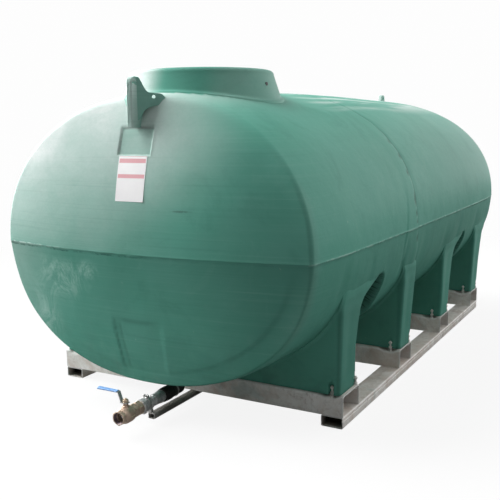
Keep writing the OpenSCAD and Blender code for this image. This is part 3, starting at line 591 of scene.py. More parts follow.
def build_leg(i, mat):
    """One hollow-looking saddle: walls grown up from the foot until they run into the belly."""
    b0 = BEAM_Y[i]
    foot = float(leg_curve(i, 0, DECK))
    rc = 15.0
    deep = 190.0
    # the outline at the foot: x, place from front (0) to rear (1) and the outward direction, right side, mirrored to the left
    side = []
    xs = np.concatenate([np.linspace(0, 560, 10), np.linspace(600, 816, 9), np.arange(822, foot - rc, 4.5)])
    for x in xs:
        side.append((x, 0.0, 0.0, -1.0))
    for a in np.linspace(-80, -10, 6):
        a = math.radians(a)
        side.append((foot - rc + rc * math.cos(a), (rc + rc * math.sin(a)) / deep, math.cos(a), math.sin(a)))
    for y in np.linspace(rc, deep - rc, 12):
        side.append((foot, y / deep, 1.0, 0.0))
    for a in np.linspace(10, 80, 6):
        a = math.radians(a)
        side.append((foot - rc + rc * math.cos(a), (deep - rc + rc * math.sin(a)) / deep, math.cos(a), math.sin(a)))
    for x in xs[::-1]:
        side.append((x, 1.0, 0.0, 1.0))
    left = [(-x, y, -nx, ny) for x, y, nx, ny in side[::-1][1:-1]]
    loop = np.array(side + left)
    n = len(loop)
    X0, V, NX, NY = loop.T
    AX = np.abs(X0)
    out_w = smooth(AX, 800, 872)

    def place(z):
        x = AX + (leg_curve(i, 0, z) - foot) * np.clip((AX - 690) / 180.0, 0, 1)
        f_in, r_in = float(leg_curve(i, 1, DECK)) + 4, 196.0
        f = f_in + (leg_curve(i, 1, z) - f_in) * smooth(AX, 560, 860)
        r = r_in + (leg_curve(i, 2, z) - r_in) * out_w
        return x, b0 + f * (1 - V) + r * V

    zs = np.linspace(DECK, 770, 240)
    top = np.full(n, 700.0)
    done = np.zeros(n, bool)
    for z in zs:
        x, y = place(np.full(n, z))
        u = np.clip(y - YM, -H, H)
        o = off(u)
        inside = (x / (TA - o)) ** NB + ((ZQ - z) / (bot(u) - o)) ** NB < 1
        top = np.where(inside & ~done, z, top)
        done |= inside
    # the outer face runs on up flush with the skin, the front and rear walls end just inside it
    out_top = np.where(np.abs(NX) > 0.1, 752.0, top + 22)
    k = np.where(np.abs(NY) > 0.9)[0]
    w_near = smooth(AX, foot - 60, foot - 14) * (np.abs(NY) > 0.9)
    end = out_top * (1 - w_near) + 752.0 * w_near
    fr = np.concatenate([[0, 0.004, 0.012, 0.03, 0.06], np.linspace(0.085, 0.74, 20), np.linspace(0.755, 1.0, 24)])
    rows = []
    for f in fr:
        z = DECK + 0.3 + (end - DECK) * f
        x, y = place(z)
        # flush with the skin where the outer face reaches it
        sx = skin_x(y, z)
        lift = 0.9 - 9.0 * smooth(z, 706, 752)
        blend = 0.5 * (x + sx + lift + np.sqrt((x - sx - lift) ** 2 + 24.0 ** 2)) - 7.5 * smooth(z, 560, 650) - 17.0 * smooth(z, 645, 742)
        over_skin = smooth(z, 540, 620) * smooth(AX, foot - 40, foot - 14)
        x = x + (blend - x) * over_skin
        x = x - 14.0 * smooth(z, 736, 752) * over_skin
        # fillet where the wall meets the belly
        dist = np.maximum(0, top - z) * 0.62
        Rf = 22.0
        g = np.clip(1 - dist / Rf, 0, 1)
        fl = np.minimum(Rf * (1 - np.sqrt(np.maximum(0, 1 - g * g))), 10) * (np.abs(NY) > 0.9)
        y = y + NY * fl
        # foot spreads a little on the beam
        y = y + NY * 2.5 * np.exp(-(z - DECK) / 8.0)
        x = x + np.abs(NX) * 2.5 * np.exp(-(z - DECK) / 8.0)
        # the walls are a little hollow between their edges
        face = smooth(AX, 60, 300) * (1 - smooth(AX, 770, 868)) * (np.abs(NY) > 0.9)
        y = y - NY * 5.0 * face * smooth(z, DECK, DECK + 90)
        mid_side = (np.abs(NX) > 0.99) * np.exp(-((V - 0.46) / 0.20) ** 2)
        x = x - 4.5 * mid_side * smooth(z, DECK + 20, DECK + 120) * (1 - smooth(z, 560, 660))
        # room around the studs
        for bx, by in BOLTS:
            cx, cy = bx, b0 + by
            dx, dy = x - cx, y - cy
            rr = 13.5 * (1 - smooth(z, DECK + 46, DECK + 60))
            no = np.array([0.0, -1.0]) if bx < 880 else np.array([0.72, 0.694])
            along = dx * no[0] + dy * no[1]
            hit = (np.hypot(dx, dy) < rr) | ((along > 0) & (np.abs(-dx * no[1] + dy * no[0]) < rr) & (along < 40))
            tx = -dx * no[1] + dy * no[0]
            depth = -np.sqrt(np.maximum(0, rr * rr - tx * tx))
            na = np.where(hit & (along > depth), depth, along)
            wz = (rr > 0.5)
            x = np.where(hit & wz, cx + no[0] * na - no[1] * tx, x)
            y = np.where(hit & wz, cy + no[1] * na + no[0] * tx, y)
        w = np.stack([np.sign(X0) * x, y, z], -1)
        w = w + 1.4 * np.stack([NX, NY, NX * 0], -1) * lattice(w / 150.0, 20 + i)[:, None] * (smooth(z, DECK, DECK + 60) * (1 - smooth(z, 600, 680)))[:, None]
        rows.append(w)
    rows = np.array(rows)
    faces = grid_faces(len(rows), n)
    faces.append(tuple(range(n))[::-1])
    ob = new_mesh(f"leg_{i + 1}_shell", rows.reshape(-1, 3), faces, mat, angle=60)
    z = rows[..., 2]
    # painted shade: outer faces darker below the belly, most on the first leg, and a dark band at the foot against the
    # beam
    leg_shade = (0.33, 0.20, 0.06, 0.05)[i] * (1 - smooth(z, 560, 700)) * smooth(np.abs(rows[..., 0]), 872, 890) + 0.5 * np.exp(-(z - DECK) / 7.0)
    at = ob.data.attributes.new("painted_shade", "FLOAT", "POINT")
    at.data.foreach_set("value", leg_shade.reshape(-1).astype(np.float32))
    return ob


# ---------------------------------------------------------------- skid
def build_beam(i, mat):
    """Folded channel, open below and at its ends, with pressed dips beside the front studs."""
    t, R, zb, zt, w = 6.0, 17.0, RAIL_H + 0.4, DECK, BEAM_W
    prof = [(0.0, zb), (0.0, zb + 4)]
    prof += [(0.0, z) for z in np.linspace(zb + 20, zt - R, 5)]
    prof += [(R - R * math.cos(a), zt - R + R * math.sin(a)) for a in np.radians(np.arange(13, 91, 11))]
    prof += [(y, zt) for y in np.concatenate([np.linspace(R + 7, 60, 5), np.linspace(84, w - R - 20, 4), [w - R]])]
    prof += [(w - R + R * math.sin(a), zt - R + R * math.cos(a)) for a in np.radians(np.arange(11, 91, 11))]
    prof += [(w, z) for z in np.linspace(zt - R - 12, zb, 5)]
    q = R - t
    prof += [(w - t, zb), (w - t, zt - R)]
    prof += [(w - R + q * math.cos(a), zt - R + q * math.sin(a)) for a in np.radians(np.arange(18, 91, 18))]
    prof += [(y, zt - t) for y in (w - R - 20, w / 2, 60, R + 9)]
    prof += [(R - q * math.sin(a), zt - R + q * math.cos(a)) for a in np.radians(np.arange(0, 91, 18))]
    prof += [(t, zb)]
    prof = np.array(prof)
    n = len(prof)
    half = np.concatenate([np.linspace(0, 700, 12), np.arange(724, WIDE - 8, 11.0), [WIDE - 2.4, WIDE - 0.6, WIDE]])
    xs = np.concatenate([-half[::-1], half[1:]])
    rows = []
    for x in xs:
        y, z = prof[:, 0].copy(), prof[:, 1].copy()
        ax = abs(x)
        upper = smooth(z, zt - R - 16, zt - R + 4)
        dip = smooth(ax, 764, 812) * (1 - smooth(ax, 866, 897)) * (1 - smooth(y, 26, 50)) * upper
        z = z - 14.0 * dip * (1.0 if i else 0.8)
        y = y + 1.5 * dip
        # slightly uneven folding
        P = np.stack([np.full(n, x), y, z], -1)
        d = 0.7 * lattice(P / 260.0, 60 + i)
        e = 1.0 if ax < WIDE - 1.5 else 0.55
        z = z + d * smooth(z, zb + 5, zb + 60)
        y = y + 0.8 * lattice(P / 190.0, 70 + i)
        if e < 1:                                # sawn edge: the centre found here is not used
            c = np.array([w / 2, zt - 50])
        rows.append(np.stack([np.full(n, x), BEAM_Y[i] + np.clip(y, 0.2, w - 0.2), np.minimum(z, zt)], -1))
    rows = np.array(rows)
    faces = grid_faces(len(rows), n)
    m = len(rows)
    faces.append(tuple(range(n)))
    faces.append(tuple(range((m - 1) * n, m * n))[::-1])
    ob = new_mesh(f"beam_{i + 1}_channel", rows.reshape(-1, 3), faces, mat, angle=38)
    py, pz = prof.T
    # painted highlight along the rolled top bends; the sawn ends pale as well
    bend = np.exp(-((np.hypot(np.minimum(py, w - py) - 6, zt - 6 - pz)) / 8.0) ** 2) * (pz > zt - R - 1)
    wear_and_sheen = np.array([np.maximum(bend * 0.9, 1.0 * (abs(x) > WIDE - 3)) for x in xs])
    mark_pale_edges(ob, wear_and_sheen.reshape(-1))
    return ob


def mark_pale_edges(ob, vals):
    """Brighter edges, partly worn and partly a painted highlight, kept on the points for the finish to use."""
    at = ob.data.attributes.new("wear_and_sheen", "FLOAT", "POINT")
    v = np.zeros(len(ob.data.vertices), np.float32)
    v[:len(vals)] = vals
    at.data.foreach_set("value", v)


def build_rail(s, mat):
    """Rolled hollow section with soft corners and open sawn ends."""
    lo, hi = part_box("skid_rail_right")
    x0, x1, h, t = lo.x / MM, hi.x / MM, hi.z / MM, 5.0
    R, q = 8.0, 4.0

    def ring(r, inset):
        pts = []
        for cx, cz, a0 in ((x1 - inset - r, h - inset - r, 0), (x0 + inset + r, h - inset - r, 90), (x0 + inset + r, inset + r, 180), (x1 - inset - r, inset + r, 270)):
            for a in np.radians(a0 + np.arange(0, 91, 15)):
                pts.append((cx + r * math.cos(a), cz + r * math.sin(a)))
        k = 2.4 if inset == 0 else 0.0           # a shallow rolled groove high on the outer side
        pts += [(x1 - inset, 36.5), (x1 - inset - k, 39), (x1 - inset - k, 42.5), (x1 - inset, 45)]
        return np.array(pts)

    outer, inner = ring(R, 0.0), ring(q, t)
    n = len(outer)
    ys = np.concatenate([[0, 0.9], np.linspace(14, 90, 6), np.linspace(130, SK_LEN - 130, 66), np.linspace(SK_LEN - 90, SK_LEN - 14, 6), [SK_LEN - 0.9, SK_LEN]])
    rows = []
    for k, y in enumerate(ys):
        P = np.stack([outer[:, 0], np.full(n, y), outer[:, 1]], -1)
        d = 0.5 * lattice(P / 210.0, 80 + int(s)) + 0.35 * lattice(P / 60.0, 82)
        cen = np.array([(x0 + x1) / 2, h / 2])
        e = 1.2 if k in (0, len(ys) - 1) else 0.55
        v = outer - cen
        v = v / np.linalg.norm(v, axis=1, keepdims=True)
        o = outer - v * (e + np.abs(d)[:, None] * 0.6)
        rows.append(np.stack([s * o[:, 0], np.full(n, Y0 + y), np.clip(o[:, 1], 0.0, h)], -1))
    m = len(rows)
    for y in (SK_LEN - 0.3, SK_LEN - 60, SK_LEN / 2, 60, 0.3):
        rows.append(np.stack([s * inner[:, 0], np.full(n, Y0 + y), inner[:, 1]], -1))
    rows = np.array(rows)
    faces = grid_faces(len(rows), n)
    b = (len(rows) - 1) * n
    faces += [(b + k, b + (k + 1) % n, (k + 1) % n, k) for k in range(n)]
    ob = new_mesh("rail_right" if s > 0 else "rail_left", rows.reshape(-1, 3), faces, mat, angle=30)
    # painted highlight along the rounded corners; the sawn ends pale as well
    cor = np.concatenate([np.tile(np.array([0, 0.35, 0.8, 1, 0.8, 0.35, 0]), 4), [0.3, 0, 0, 0.5]])
    wear_and_sheen = np.array([np.maximum(cor * 0.75, 1.0 * (k in (0, len(ys) - 1))) for k in range(len(ys))])
    mark_pale_edges(ob, wear_and_sheen.reshape(-1))
    # painted shade inside the open tube ends
    shade = np.concatenate([np.zeros(m * n), [0.1] * n, [1.0] * (3 * n), [0.1] * n]).astype(np.float32)
    ob.data.attributes.new("inside", "FLOAT", "POINT").data.foreach_set("value", shade)
    return ob


def build_welds(mat):
    """Uneven beads where the beams sit on the rails."""
    lo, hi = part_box("skid_rail_right")
    parts = []
    for s in (1, -1):
        for i, b in enumerate(BEAM_Y):
            for y, e in ((b + 1.0, -1), (b + BEAM_W - 1.0, 1)):
                if not (Y0 + 1 < y + e * 5 < Y0 + SK_LEN - 1):
                    continue
                xs = np.arange(lo.x / MM + 5, hi.x / MM - 5, 2.4)
                rows = []
                for x in xs:
                    k = 1 + 0.32 * math.sin(x / 1.75 + i) + 0.30 * float(lattice(np.array([x / 9.0, y / 9.0, s * 3.0]), 90))
                    r = 3.6 * k
                    rows.append([[s * x, y + e * r * math.cos(a) * 0.9, RAIL_H - 0.6 + r * math.sin(a)] for a in np.radians(np.arange(-20, 181, 25))])
                rows = np.array(rows)
                n = rows.shape[1]
                f = grid_faces(len(rows), n, wrap=True)
                f.append(tuple(range(n)))
                f.append(tuple(range((len(rows) - 1) * n, len(rows) * n))[::-1])
                parts.append(new_mesh("bead", rows.reshape(-1, 3), f, mat, angle=80))
    return join("skid_welds", parts)


def hexed(flat, chamfer=1.0):
    """Turns a lathe's radius into a hexagon of this half width across the flats. The chamfer argument is not used."""
    def mod(r, th, a):
        k = (th + math.pi / 6) % (math.pi / 3) - math.pi / 6
        return np.minimum(r, flat / np.cos(k))
    return mod


def build_bolts(i, mat):
    parts = []
    for s in (1, -1):
        for bx, by in BOLTS:
            c = (s * bx, BEAM_Y[i] + by, 0)
            z = DECK - 25
            prof = [(0.01, z), (5.0, z)]
            while z < DECK + 41:
                prof += [(5.9, z + 0.6), (5.9, z + 1.0), (5.0, z + 1.7)]
                z += 2.2
            prof += [(5.7, DECK + 43.4), (4.6, DECK + 45.2), (0.01, DECK + 45.6)]
            parts.append(lathe("stud", prof, mat, c, n=14, angle=30))
            parts.append(lathe("washer", [(0.01, DECK + 0.2), (9.6, DECK + 0.2), (9.8, DECK + 0.7), (9.8, DECK + 1.9), (9.4, DECK + 2.4), (0.01, DECK + 2.4)], mat, c, n=24, angle=30))
            nut = [(0.01, DECK + 2.5), (8.7, DECK + 2.5), (10.4, DECK + 3.6), (10.4, DECK + 11.2), (8.9, DECK + 12.4), (5.5, DECK + 12.5)]
            parts.append(lathe("nut", nut, mat, c, n=36, angle=25, mod=hexed(9.0)))
            nut = [(5.5, DECK + 30), (8.7, DECK + 30), (10.4, DECK + 31.2), (10.4, DECK + 38.0), (8.9, DECK + 39.2), (5.5, DECK + 39.3)]
            parts.append(lathe("nut_upper", nut, mat, c, n=36, angle=25, mod=hexed(9.0)))
            b = DECK - 16
            nut = [(5.5, b), (8.7, b), (10.4, b + 1.2), (10.4, b + 8.6), (8.9, b + 9.8), (0.01, b + 9.9)]
            parts.append(lathe("nut_under", nut, mat, c, n=36, angle=25, mod=hexed(9.0)))
    return join(f"studs_{i + 1}", parts)


# ---------------------------------------------------------------- outlet
BORE, MOUTH_R = 25.0, 28.5
MOUTH_Y = (Y0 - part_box("valve_body")[0].y / MM)
STEM_Y = Y0 - (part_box("valve_ball")[0].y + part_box("valve_ball")[1].y) / 2 / MM


def turned(name, outer, mat, ri=None, n=96, angle=30, mod=None):
    """Turned ring on the outlet's axis: outer is (r, distance in front of the skid), from front to rear."""
    ri = BORE if ri is None else ri
    prof = [(ri, -outer[0][1])] + [(r, -a) for r, a in outer] + [(ri, -outer[-1][1]), (ri, -outer[0][1])]
    return lathe(name, prof, mat, (0, Y0, OUT_Z), axis="Y", n=n, angle=angle, mod=mod)


def hexed_out(flat, over):
    """Hexagon across these flats for the points of the profile beyond the radius over."""
    def mod(r, th, a):
        k = (th + math.pi / 6) % (math.pi / 3) - math.pi / 6
        return np.where(r > over, np.minimum(r, flat / np.cos(k)), r)
    return mod


def build_collar(mat):
    def ribs(r, th, a):
        k = 0.5 + 0.5 * np.tanh(5 * np.cos(14 * th))
        return r - np.where((r > 36.6) & (-a > 204) & (-a < 250), 2.4 * (1 - k), 0)

    out = [(34, 268), (36, 266.5), (36.5, 262), (36.5, 256), (34.6, 254), (34.6, 251.5), (37.2, 249.5), (38, 247), (38, 238), (38, 222), (38, 208), (37.2, 205), (35, 203), (34, 200), (34, 196), (35.5, 194.5), (35.5, 191)]
    return turned("collar_nut", out, mat, n=168, mod=ribs)


def build_elbow_ring(mat):
    out = [(35, 167), (36.8, 166.4), (37.4, 165), (37.4, 159.4), (36.8, 158), (35, 157.5)]
    return turned("ring_bright", out, mat, ri=33.3)


def build_pipe(mat):
    out = [(27, 371.5), (29.4, 370), (29.4, 366)]
    a = 364.0
    while a > 346:                               # end of the thread
        out += [(29.2, a), (29.2, a - 0.5), (28.0, a - 1.3), (28.0, a - 1.7)]
        a -= 2.3
    out += [(30.0, 343), (30.2, 340), (30.2, 322), (30.25, 302), (31.6, 299), (33.2, 296), (33.6, 292), (33.6, 281), (33.0, 278), (31.0, 276), (30.4, 273), (30.4, 269)]
    return turned("pipe_nipple", out, mat)


def build_socket(mat):
    out = [(34.5, 454.6), (36.6, 453.6), (37.4, 451.5), (37.4, 446), (36.6, 443.6), (35.3, 442.5), (35.3, 432), (35.5, 420), (35.5, 414), (35.3, 412), (33.2, 411), (33.2, 394), (34.9, 393), (36.6, 391.6), (37.0, 389.5), (37.0, 385), (36.4, 383.4), (33.6, 382.4), (33.0, 380), (33.0, 378), (33.8, 377), (34.2, 374), (32, 372.6)]
    return turned("socket_turned", out, mat)


def bar(name, pts, w, t, mat, up=(0, 0, 1)):
    """Flat strip of width w and thickness t along a bent path, with eased edges."""
    pts = [Vector(p) for p in pts]
    rows = []
    e = min(t, w) * 0.22
    sec = [(-w / 2 + e, -t / 2), (w / 2 - e, -t / 2), (w / 2, -t / 2 + e), (w / 2, t / 2 - e), (w / 2 - e, t / 2), (-w / 2 + e, t / 2), (-w / 2, t / 2 - e), (-w / 2, -t / 2 + e)]
    for i, p in enumerate(pts):
        a = pts[max(0, i - 1)]
        b = pts[min(len(pts) - 1, i + 1)]
        d = (b - a).normalized()
        side = d.cross(Vector(up)).normalized()
        nrm = side.cross(d).normalized()
        rows.append([list(p + side * u + nrm * v) for u, v in sec])
    rows = np.array(rows)
    n = len(sec)
    f = grid_faces(len(rows), n)
    f.append(tuple(range(n)))
    f.append(tuple(range((len(rows) - 1) * n, len(rows) * n))[::-1])
    return new_mesh(name, rows.reshape(-1, 3), f, mat, angle=35)


def build_clamp(mat):
    parts = [turned("band", [(34.5, 410), (36.6, 409.6), (37.4, 408.6), (37.4, 406.8), (36.5, 405.8), (36.5, 399.2), (37.4, 398.2), (37.4, 396.6), (36.6, 395.7), (34.5, 395.4)], mat, ri=33.6)]
    y, z = Y0 - 403, OUT_Z
    for sx in (1, -1):
        path = [(sx * 26, y, z + 26.5), (sx * 19, y, z + 32.6), (sx * 12, y, z + 36.4), (sx * 8.4, y, z + 38.6), (sx * 7.2, y, z + 41), (sx * 7.0, y, z + 46), (sx * 7.0, y, z + 50)]
        parts.append(bar("ear", path, 14, 1.8, mat, up=(sx, 0, 0.3)))
    c = (0, y, z + 44.5)
    scr = [(0.01, -17), (3.0, -17)]
    a = -16.4
    while a < 10:
        scr += [(3.0, a), (3.0, a + 0.4), (2.4, a + 0.9)]
        a += 1.3
    scr += [(3.0, 11), (5.4, 11), (6.2, 12), (6.2, 16), (5.2, 17), (0.01, 17)]
    k = lathe("screw", scr, mat, c, axis="X", n=30, angle=30, mod=None)
    nut = lathe("screw_nut", [(2.5, -12.4), (5.2, -12.4), (6.2, -11.6), (6.2, -8.6), (5.2, -8.0), (2.5, -8.0)], mat, c, axis="X", n=36, angle=25, mod=hexed(5.4))
    return join("clamp_detail", parts + [k, nut])


def build_nipple(mat):
    out = [(30, 499.4), (32.4, 498.6), (32.4, 494), (33.6, 493), (36.4, 492), (38.0, 490.2), (38.0, 464), (36.4, 462.2), (33.6, 461), (31.6, 460), (31.6, 456)]
    return turned("nipple_hex", out, mat, n=180, mod=hexed_out(33.6, 33.0), angle=24)


def build_valve_body(mat):
    cr, sy = 35.6, STEM_Y
    ch = math.sqrt(cr * cr - BORE * BORE)
    M = MOUTH_Y
    outer = [(MOUTH_R + 1.2, M), (31.6, M - 0.2), (34.6, M - 1.0), (37.0, M - 2.4), (38.0, M - 4.0), (38.0, 606.5), (36.8, 604.6), (34.6, 603.4), (34.2, 601.5), (35.6, 599), (37.0, 595), (39.4, 588), (41.0, 583.5), (41.8, 578), (42.0, 566), (42.0, 556), (41.8, 548), (41.0, 541), (39.0, 532), (36.6, 527.5), (35.0, 526.3), (36.6, 525.6), (38.0, 524.0), (38.0, 503.4), (36.6, 501.6), (33.6, 500.4), (31.0, 500.2)]
    inner = [(BORE, 500.2), (BORE, sy - ch)]
    inner += [(math.sqrt(cr * cr - d * d), sy + d) for d in np.linspace(-ch + 1, ch - 1, 9)]
    inner += [(BORE, sy + ch), (BORE, M - 26), (MOUTH_R - 1.6, M - 24)]
    a = M - 23.0
    while a < M - 3:                             # thread inside the mouth
        inner += [(MOUTH_R - 1.4, a), (MOUTH_R - 0.2, a + 0.9), (MOUTH_R - 0.2, a + 1.3)]
        a += 2.4
    inner += [(MOUTH_R, M - 1.4), (MOUTH_R + 1.2, M)]

    def mod(r, th, a):
        k = (th + math.pi / 6) % (math.pi / 3) - math.pi / 6
        hexa = ((-a > 604) | (-a < 526)) & (r > 33.9)
        return np.where(hexa, np.minimum(r, 33.9 / np.cos(k)), r)

    prof = [(r, -a) for r, a in outer + inner]
    body = lathe("valve_shell", prof, mat, (0, Y0, OUT_Z), axis="Y", n=180, angle=24, mod=mod)
    c = (0, Y0 - sy, OUT_Z)
    boss = [(8.4, 38), (8.4, 57.5), (11.0, 57.8), (12.6, 57.0), (12.9, 55.5), (13.0, 47.6), (14.9, 47.0), (16.6, 45.6), (17.0, 43.5), (17.2, 41.5), (18.6, 39.6), (21.0, 37.6), (24.0, 34), (8.4, 34), (8.4, 38)]

    def nut(r, th, a):
        k = (th + math.pi / 6) % (math.pi / 3) - math.pi / 6
        return np.where((a > 47.5) & (r > 10.5), np.minimum(r, 11.6 / np.cos(k)), r)

    b = lathe("valve_tower", boss, mat, c, n=96, angle=30, mod=nut)
    rib = [bar("cast_rib", [(sx * 41.2, Y0 - 545, OUT_Z), (sx * 42.2, Y0 - 562, OUT_Z), (sx * 41.2, Y0 - 580, OUT_Z)], 5, 2.2, mat, up=(sx, 0, 0)) for sx in (1, -1)]
    return join("valve_body_detail", [body, b] + rib)


def build_stem(mat):
    c = (0, Y0 - STEM_Y, OUT_Z)
    p = [(0.01, 36), (7.9, 36), (7.9, 68.5)]
    a = 79.0
    th = [(7.2, 79.0), (7.2, 80.2), (6.5, 81), (7.2, 81.8), (6.8, 83.2), (5.6, 84), (0.01, 84)]
    s1 = lathe("stem_turned", p + [(7.9, 70)] + th, mat, c, n=48, angle=30)
    nut = [(6.0, 66.3), (12.6, 66.3), (15.0, 67.8), (15.0, 76.4), (12.8, 77.9), (6.0, 78.0)]
    s2 = lathe("stem_nut", nut, mat, c, n=72, angle=24, mod=hexed(13.0))
    w = lathe("stem_washer", [(7.9, 64.4), (13.6, 64.4), (13.9, 64.8), (13.9, 65.8), (13.6, 66.2), (7.9, 66.2)], mat, c, n=48, angle=30)
    return join("stem_detail", [s1, s2, w])


def build_sleeve(mat):
    lo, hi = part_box("lever_sleeve")
    x0, x1 = lo.x / MM, hi.x / MM
    yc, zc = (lo.y + hi.y) / 2 / MM, (lo.z + hi.z) / 2 / MM
    hw, hh = (hi.y - lo.y) / 2 / MM, (hi.z - lo.z) / 2 / MM
    n = 40
    th = np.linspace(0, 2 * math.pi, n, endpoint=False)
    rows = []
    L = x1 - x0
    for t in np.concatenate([[0, 0.006, 0.018, 0.035], np.linspace(0.06, 0.94, 22), [0.965, 0.982, 0.994, 1.0]]):
        e = min(t, 1 - t)
        k = math.sqrt(max(0.0, 1 - max(0, 1 - e / 0.035) ** 2)) * 0.45 + 0.55 if e < 0.035 else 1.0
        w = hw * k * (1 - 0.13 * math.exp(-((t - 0.86) / 0.12) ** 2)) * (0.965 + 0.035 * math.cos((t - 0.1) * 6))
        h = hh * (k * 0.98) * (0.95 + 0.05 * math.cos((t - 0.15) * 7))
        rows.append(np.stack([np.full(n, x0 + L * t), yc + w * spow(np.cos(th), 3.2), zc + h * spow(np.sin(th), 2.6)], -1))
    rows = np.array(rows)
    f = grid_faces(len(rows), n)
    f.append(tuple(range(n)))
    f.append(tuple(range((len(rows) - 1) * n, len(rows) * n))[::-1])
    return new_mesh("sleeve_grip", rows.reshape(-1, 3), f, mat, angle=60)


def build_arm(mat):
    lo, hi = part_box("support_arm")
    x0, x1, z0, z1 = lo.x / MM, hi.x / MM, lo.z / MM, hi.z / MM
    y0, y1 = lo.y / MM, hi.y / MM

    def ring(r, inset):
        pts = []
        for cx, cz, a0 in ((x1 - inset - r, z1 - inset - r, 0), (x0 + inset + r, z1 - inset - r, 90), (x0 + inset + r, z0 + inset + r, 180), (x1 - inset - r, z0 + inset + r, 270)):
            for a in np.radians(a0 + np.arange(0, 91, 18)):
                pts.append((cx + r * math.cos(a), cz + r * math.sin(a)))
        return np.array(pts)

    o, q = ring(5.0, 0.3), ring(2.5, 3.2)
    n = len(o)
    ys = np.concatenate([[y0, y0 + 0.8], np.linspace(y0 + 10, y1 - 1, 24)])
    rows = []
    for k, y in enumerate(ys):
        g = ring(4.4, 0.9) if k == 0 else o
        P = np.stack([g[:, 0], np.full(n, y), g[:, 1]], -1)
        P[:, 0] += 0.3 * lattice(P / 90.0, 91)
        rows.append(P)
    for y in (y1 - 1, y1 - 200, y0 + 60, y0 + 0.2):
        rows.append(np.stack([q[:, 0], np.full(n, y), q[:, 1]], -1))
    rows = np.array(rows)
    f = grid_faces(len(rows), n)
    b = (len(rows) - 1) * n
    f += [(b + k, b + (k + 1) % n, (k + 1) % n, k) for k in range(n)]
    ob = new_mesh("arm_tube", rows.reshape(-1, 3), f, mat, angle=30)
    # painted highlight along the corners; the end pale as well
    cor = np.tile(np.array([0, 0.4, 0.9, 0.9, 0.4, 0]), 4)
    wear_and_sheen = np.array([np.maximum(cor * 0.5, 0.9 * (k == 0)) for k in range(len(ys))])
    mark_pale_edges(ob, wear_and_sheen.reshape(-1))
    return ob


# ---------------------------------------------------------------- lifting lugs
def extrude_outline(name, outline, thick, mat, holes=(), bevel=2.5, seg=3):
    """A flat plate from an outline (list of 2-D points) in the local XZ plane, thickness along local Y, rounded edges."""
    bm = bmesh.new()
    vs = [bm.verts.new((p[0] * MM, -thick / 2 * MM, p[1] * MM)) for p in outline]
    f = bm.faces.new(vs)
    r = bmesh.ops.extrude_face_region(bm, geom=[f])
    bmesh.ops.translate(bm, vec=(0, thick * MM, 0), verts=[v for v in r["geom"] if isinstance(v, bmesh.types.BMVert)])
    bmesh.ops.recalc_face_normals(bm, faces=bm.faces)
    me = bpy.data.meshes.new(name)
    bm.to_mesh(me)
    bm.free()
    ob = bpy.data.objects.new(name, me)
    scene.collection.objects.link(ob)
    me.materials.append(mat)
    for hx, hz, hr in holes:
        c = lathe("cut", [(0.01, -thick), (hr, -thick), (hr, thick), (0.01, thick)], None, (hx, 0, hz), axis="Y", n=40, angle=None)
        m = ob.modifiers.new("hole", "BOOLEAN")
        m.operation, m.object, m.solver = "DIFFERENCE", c, "EXACT"
        apply_mods(ob)
        bpy.data.objects.remove(c)
    b = ob.modifiers.new("round", "BEVEL")
    b.width, b.segments, b.limit_method, b.angle_limit = bevel * MM, seg, "ANGLE", math.radians(50)
    apply_mods(ob)
    for p in ob.data.polygons:
        p.use_smooth = True
    sharp_by_angle(ob.data, 45)
    return ob


def apply_mods(ob):
    dg = bpy.context.evaluated_depsgraph_get()
    me = bpy.data.meshes.new_from_object(ob.evaluated_get(dg))
    ob.modifiers.clear()
    old = ob.data
    ob.data = me
    bpy.data.meshes.remove(old)


def build_front_lug(mat):
    y = Y0 - 430
    # the post on the centre line: local X is Y here
    post = [(-16, 1505), (-15, 1600), (-12, 1690), (-11, 1720), (-6, 1734), (4, 1742), (18, 1745), (46, 1744), (58, 1736), (66, 1722), (74, 1700), (86, 1650), (90, 1560), (60, 1505)]
    p = extrude_outline("lug_post", post, 30, mat, holes=((6, 1716, 9.2),), bevel=5, seg=3)
    p.matrix_world = Matrix.Translation((0, y * MM, 0)) @ Matrix.Rotation(math.radians(90), 4, "Z")
    parts = [p]
    for s in (1, -1):
        rib = [(0, 1522), (10, 1536), (18, 1545), (25, 1555), (35, 1573), (42, 1583), (50, 1590), (59, 1596.5), (69, 1601), (93, 1607), (117, 1609.5), (138, 1611), (146, 1614), (151, 1621), (149, 1632), (145, 1643), (138, 1653), (130, 1661), (119, 1665), (95, 1667), (72, 1669.5), (62, 1673), (53, 1680), (43, 1696), (33, 1718), (27, 1729), (20, 1737), (10, 1743), (0, 1744)]
        r = extrude_outline("lug_rib", rib if s > 0 else [(-a, b) for a, b in rib][::-1], 24, mat, holes=((s * 88, 1650, 8.5),), bevel=2.6, seg=3)
        r.matrix_world = Matrix.Translation((0, (y + 34) * MM, 0)) @ Matrix.Rotation(s * math.radians(35), 4, "Z")
        parts.append(r)
    bpy.context.view_layer.update()
    for o in parts:
        o.data.transform(o.matrix_world)
        o.matrix_world = Matrix.Identity(4)
    for x in (-8.0, 0.0, 8.0):                   # moulded ribs down the post's front
        v, f = [], []
        path = [(1512, -15.6), (1560, -15.4), (1600, -15.0), (1650, -13.4), (1690, -12.0), (1716, -11.2), (1730, -8.4)]
        for z, dy in path:
            k = 0.25 if z in (1512, 1730) else 1.0
            for a, b in ((-2.6, 1.0), (-1.6, -1.3 * k), (0, -2.0 * k), (1.6, -1.3 * k), (2.6, 1.0)):
                v.append((x + a, y + dy + b, z))
        for j in range(len(path) - 1):
            for q in range(4):
                f.append((j * 5 + q, j * 5 + q + 1, (j + 1) * 5 + q + 1, (j + 1) * 5 + q))
            f.append((j * 5 + 4, j * 5, (j + 1) * 5, (j + 1) * 5 + 4))
        f += [(0, 1, 2, 3, 4), tuple(range((len(path) - 1) * 5, len(path) * 5))[::-1]]
        parts.append(new_mesh("lug_rib_line", v, f, mat, angle=60))
    return join("front_lug_shell", parts)


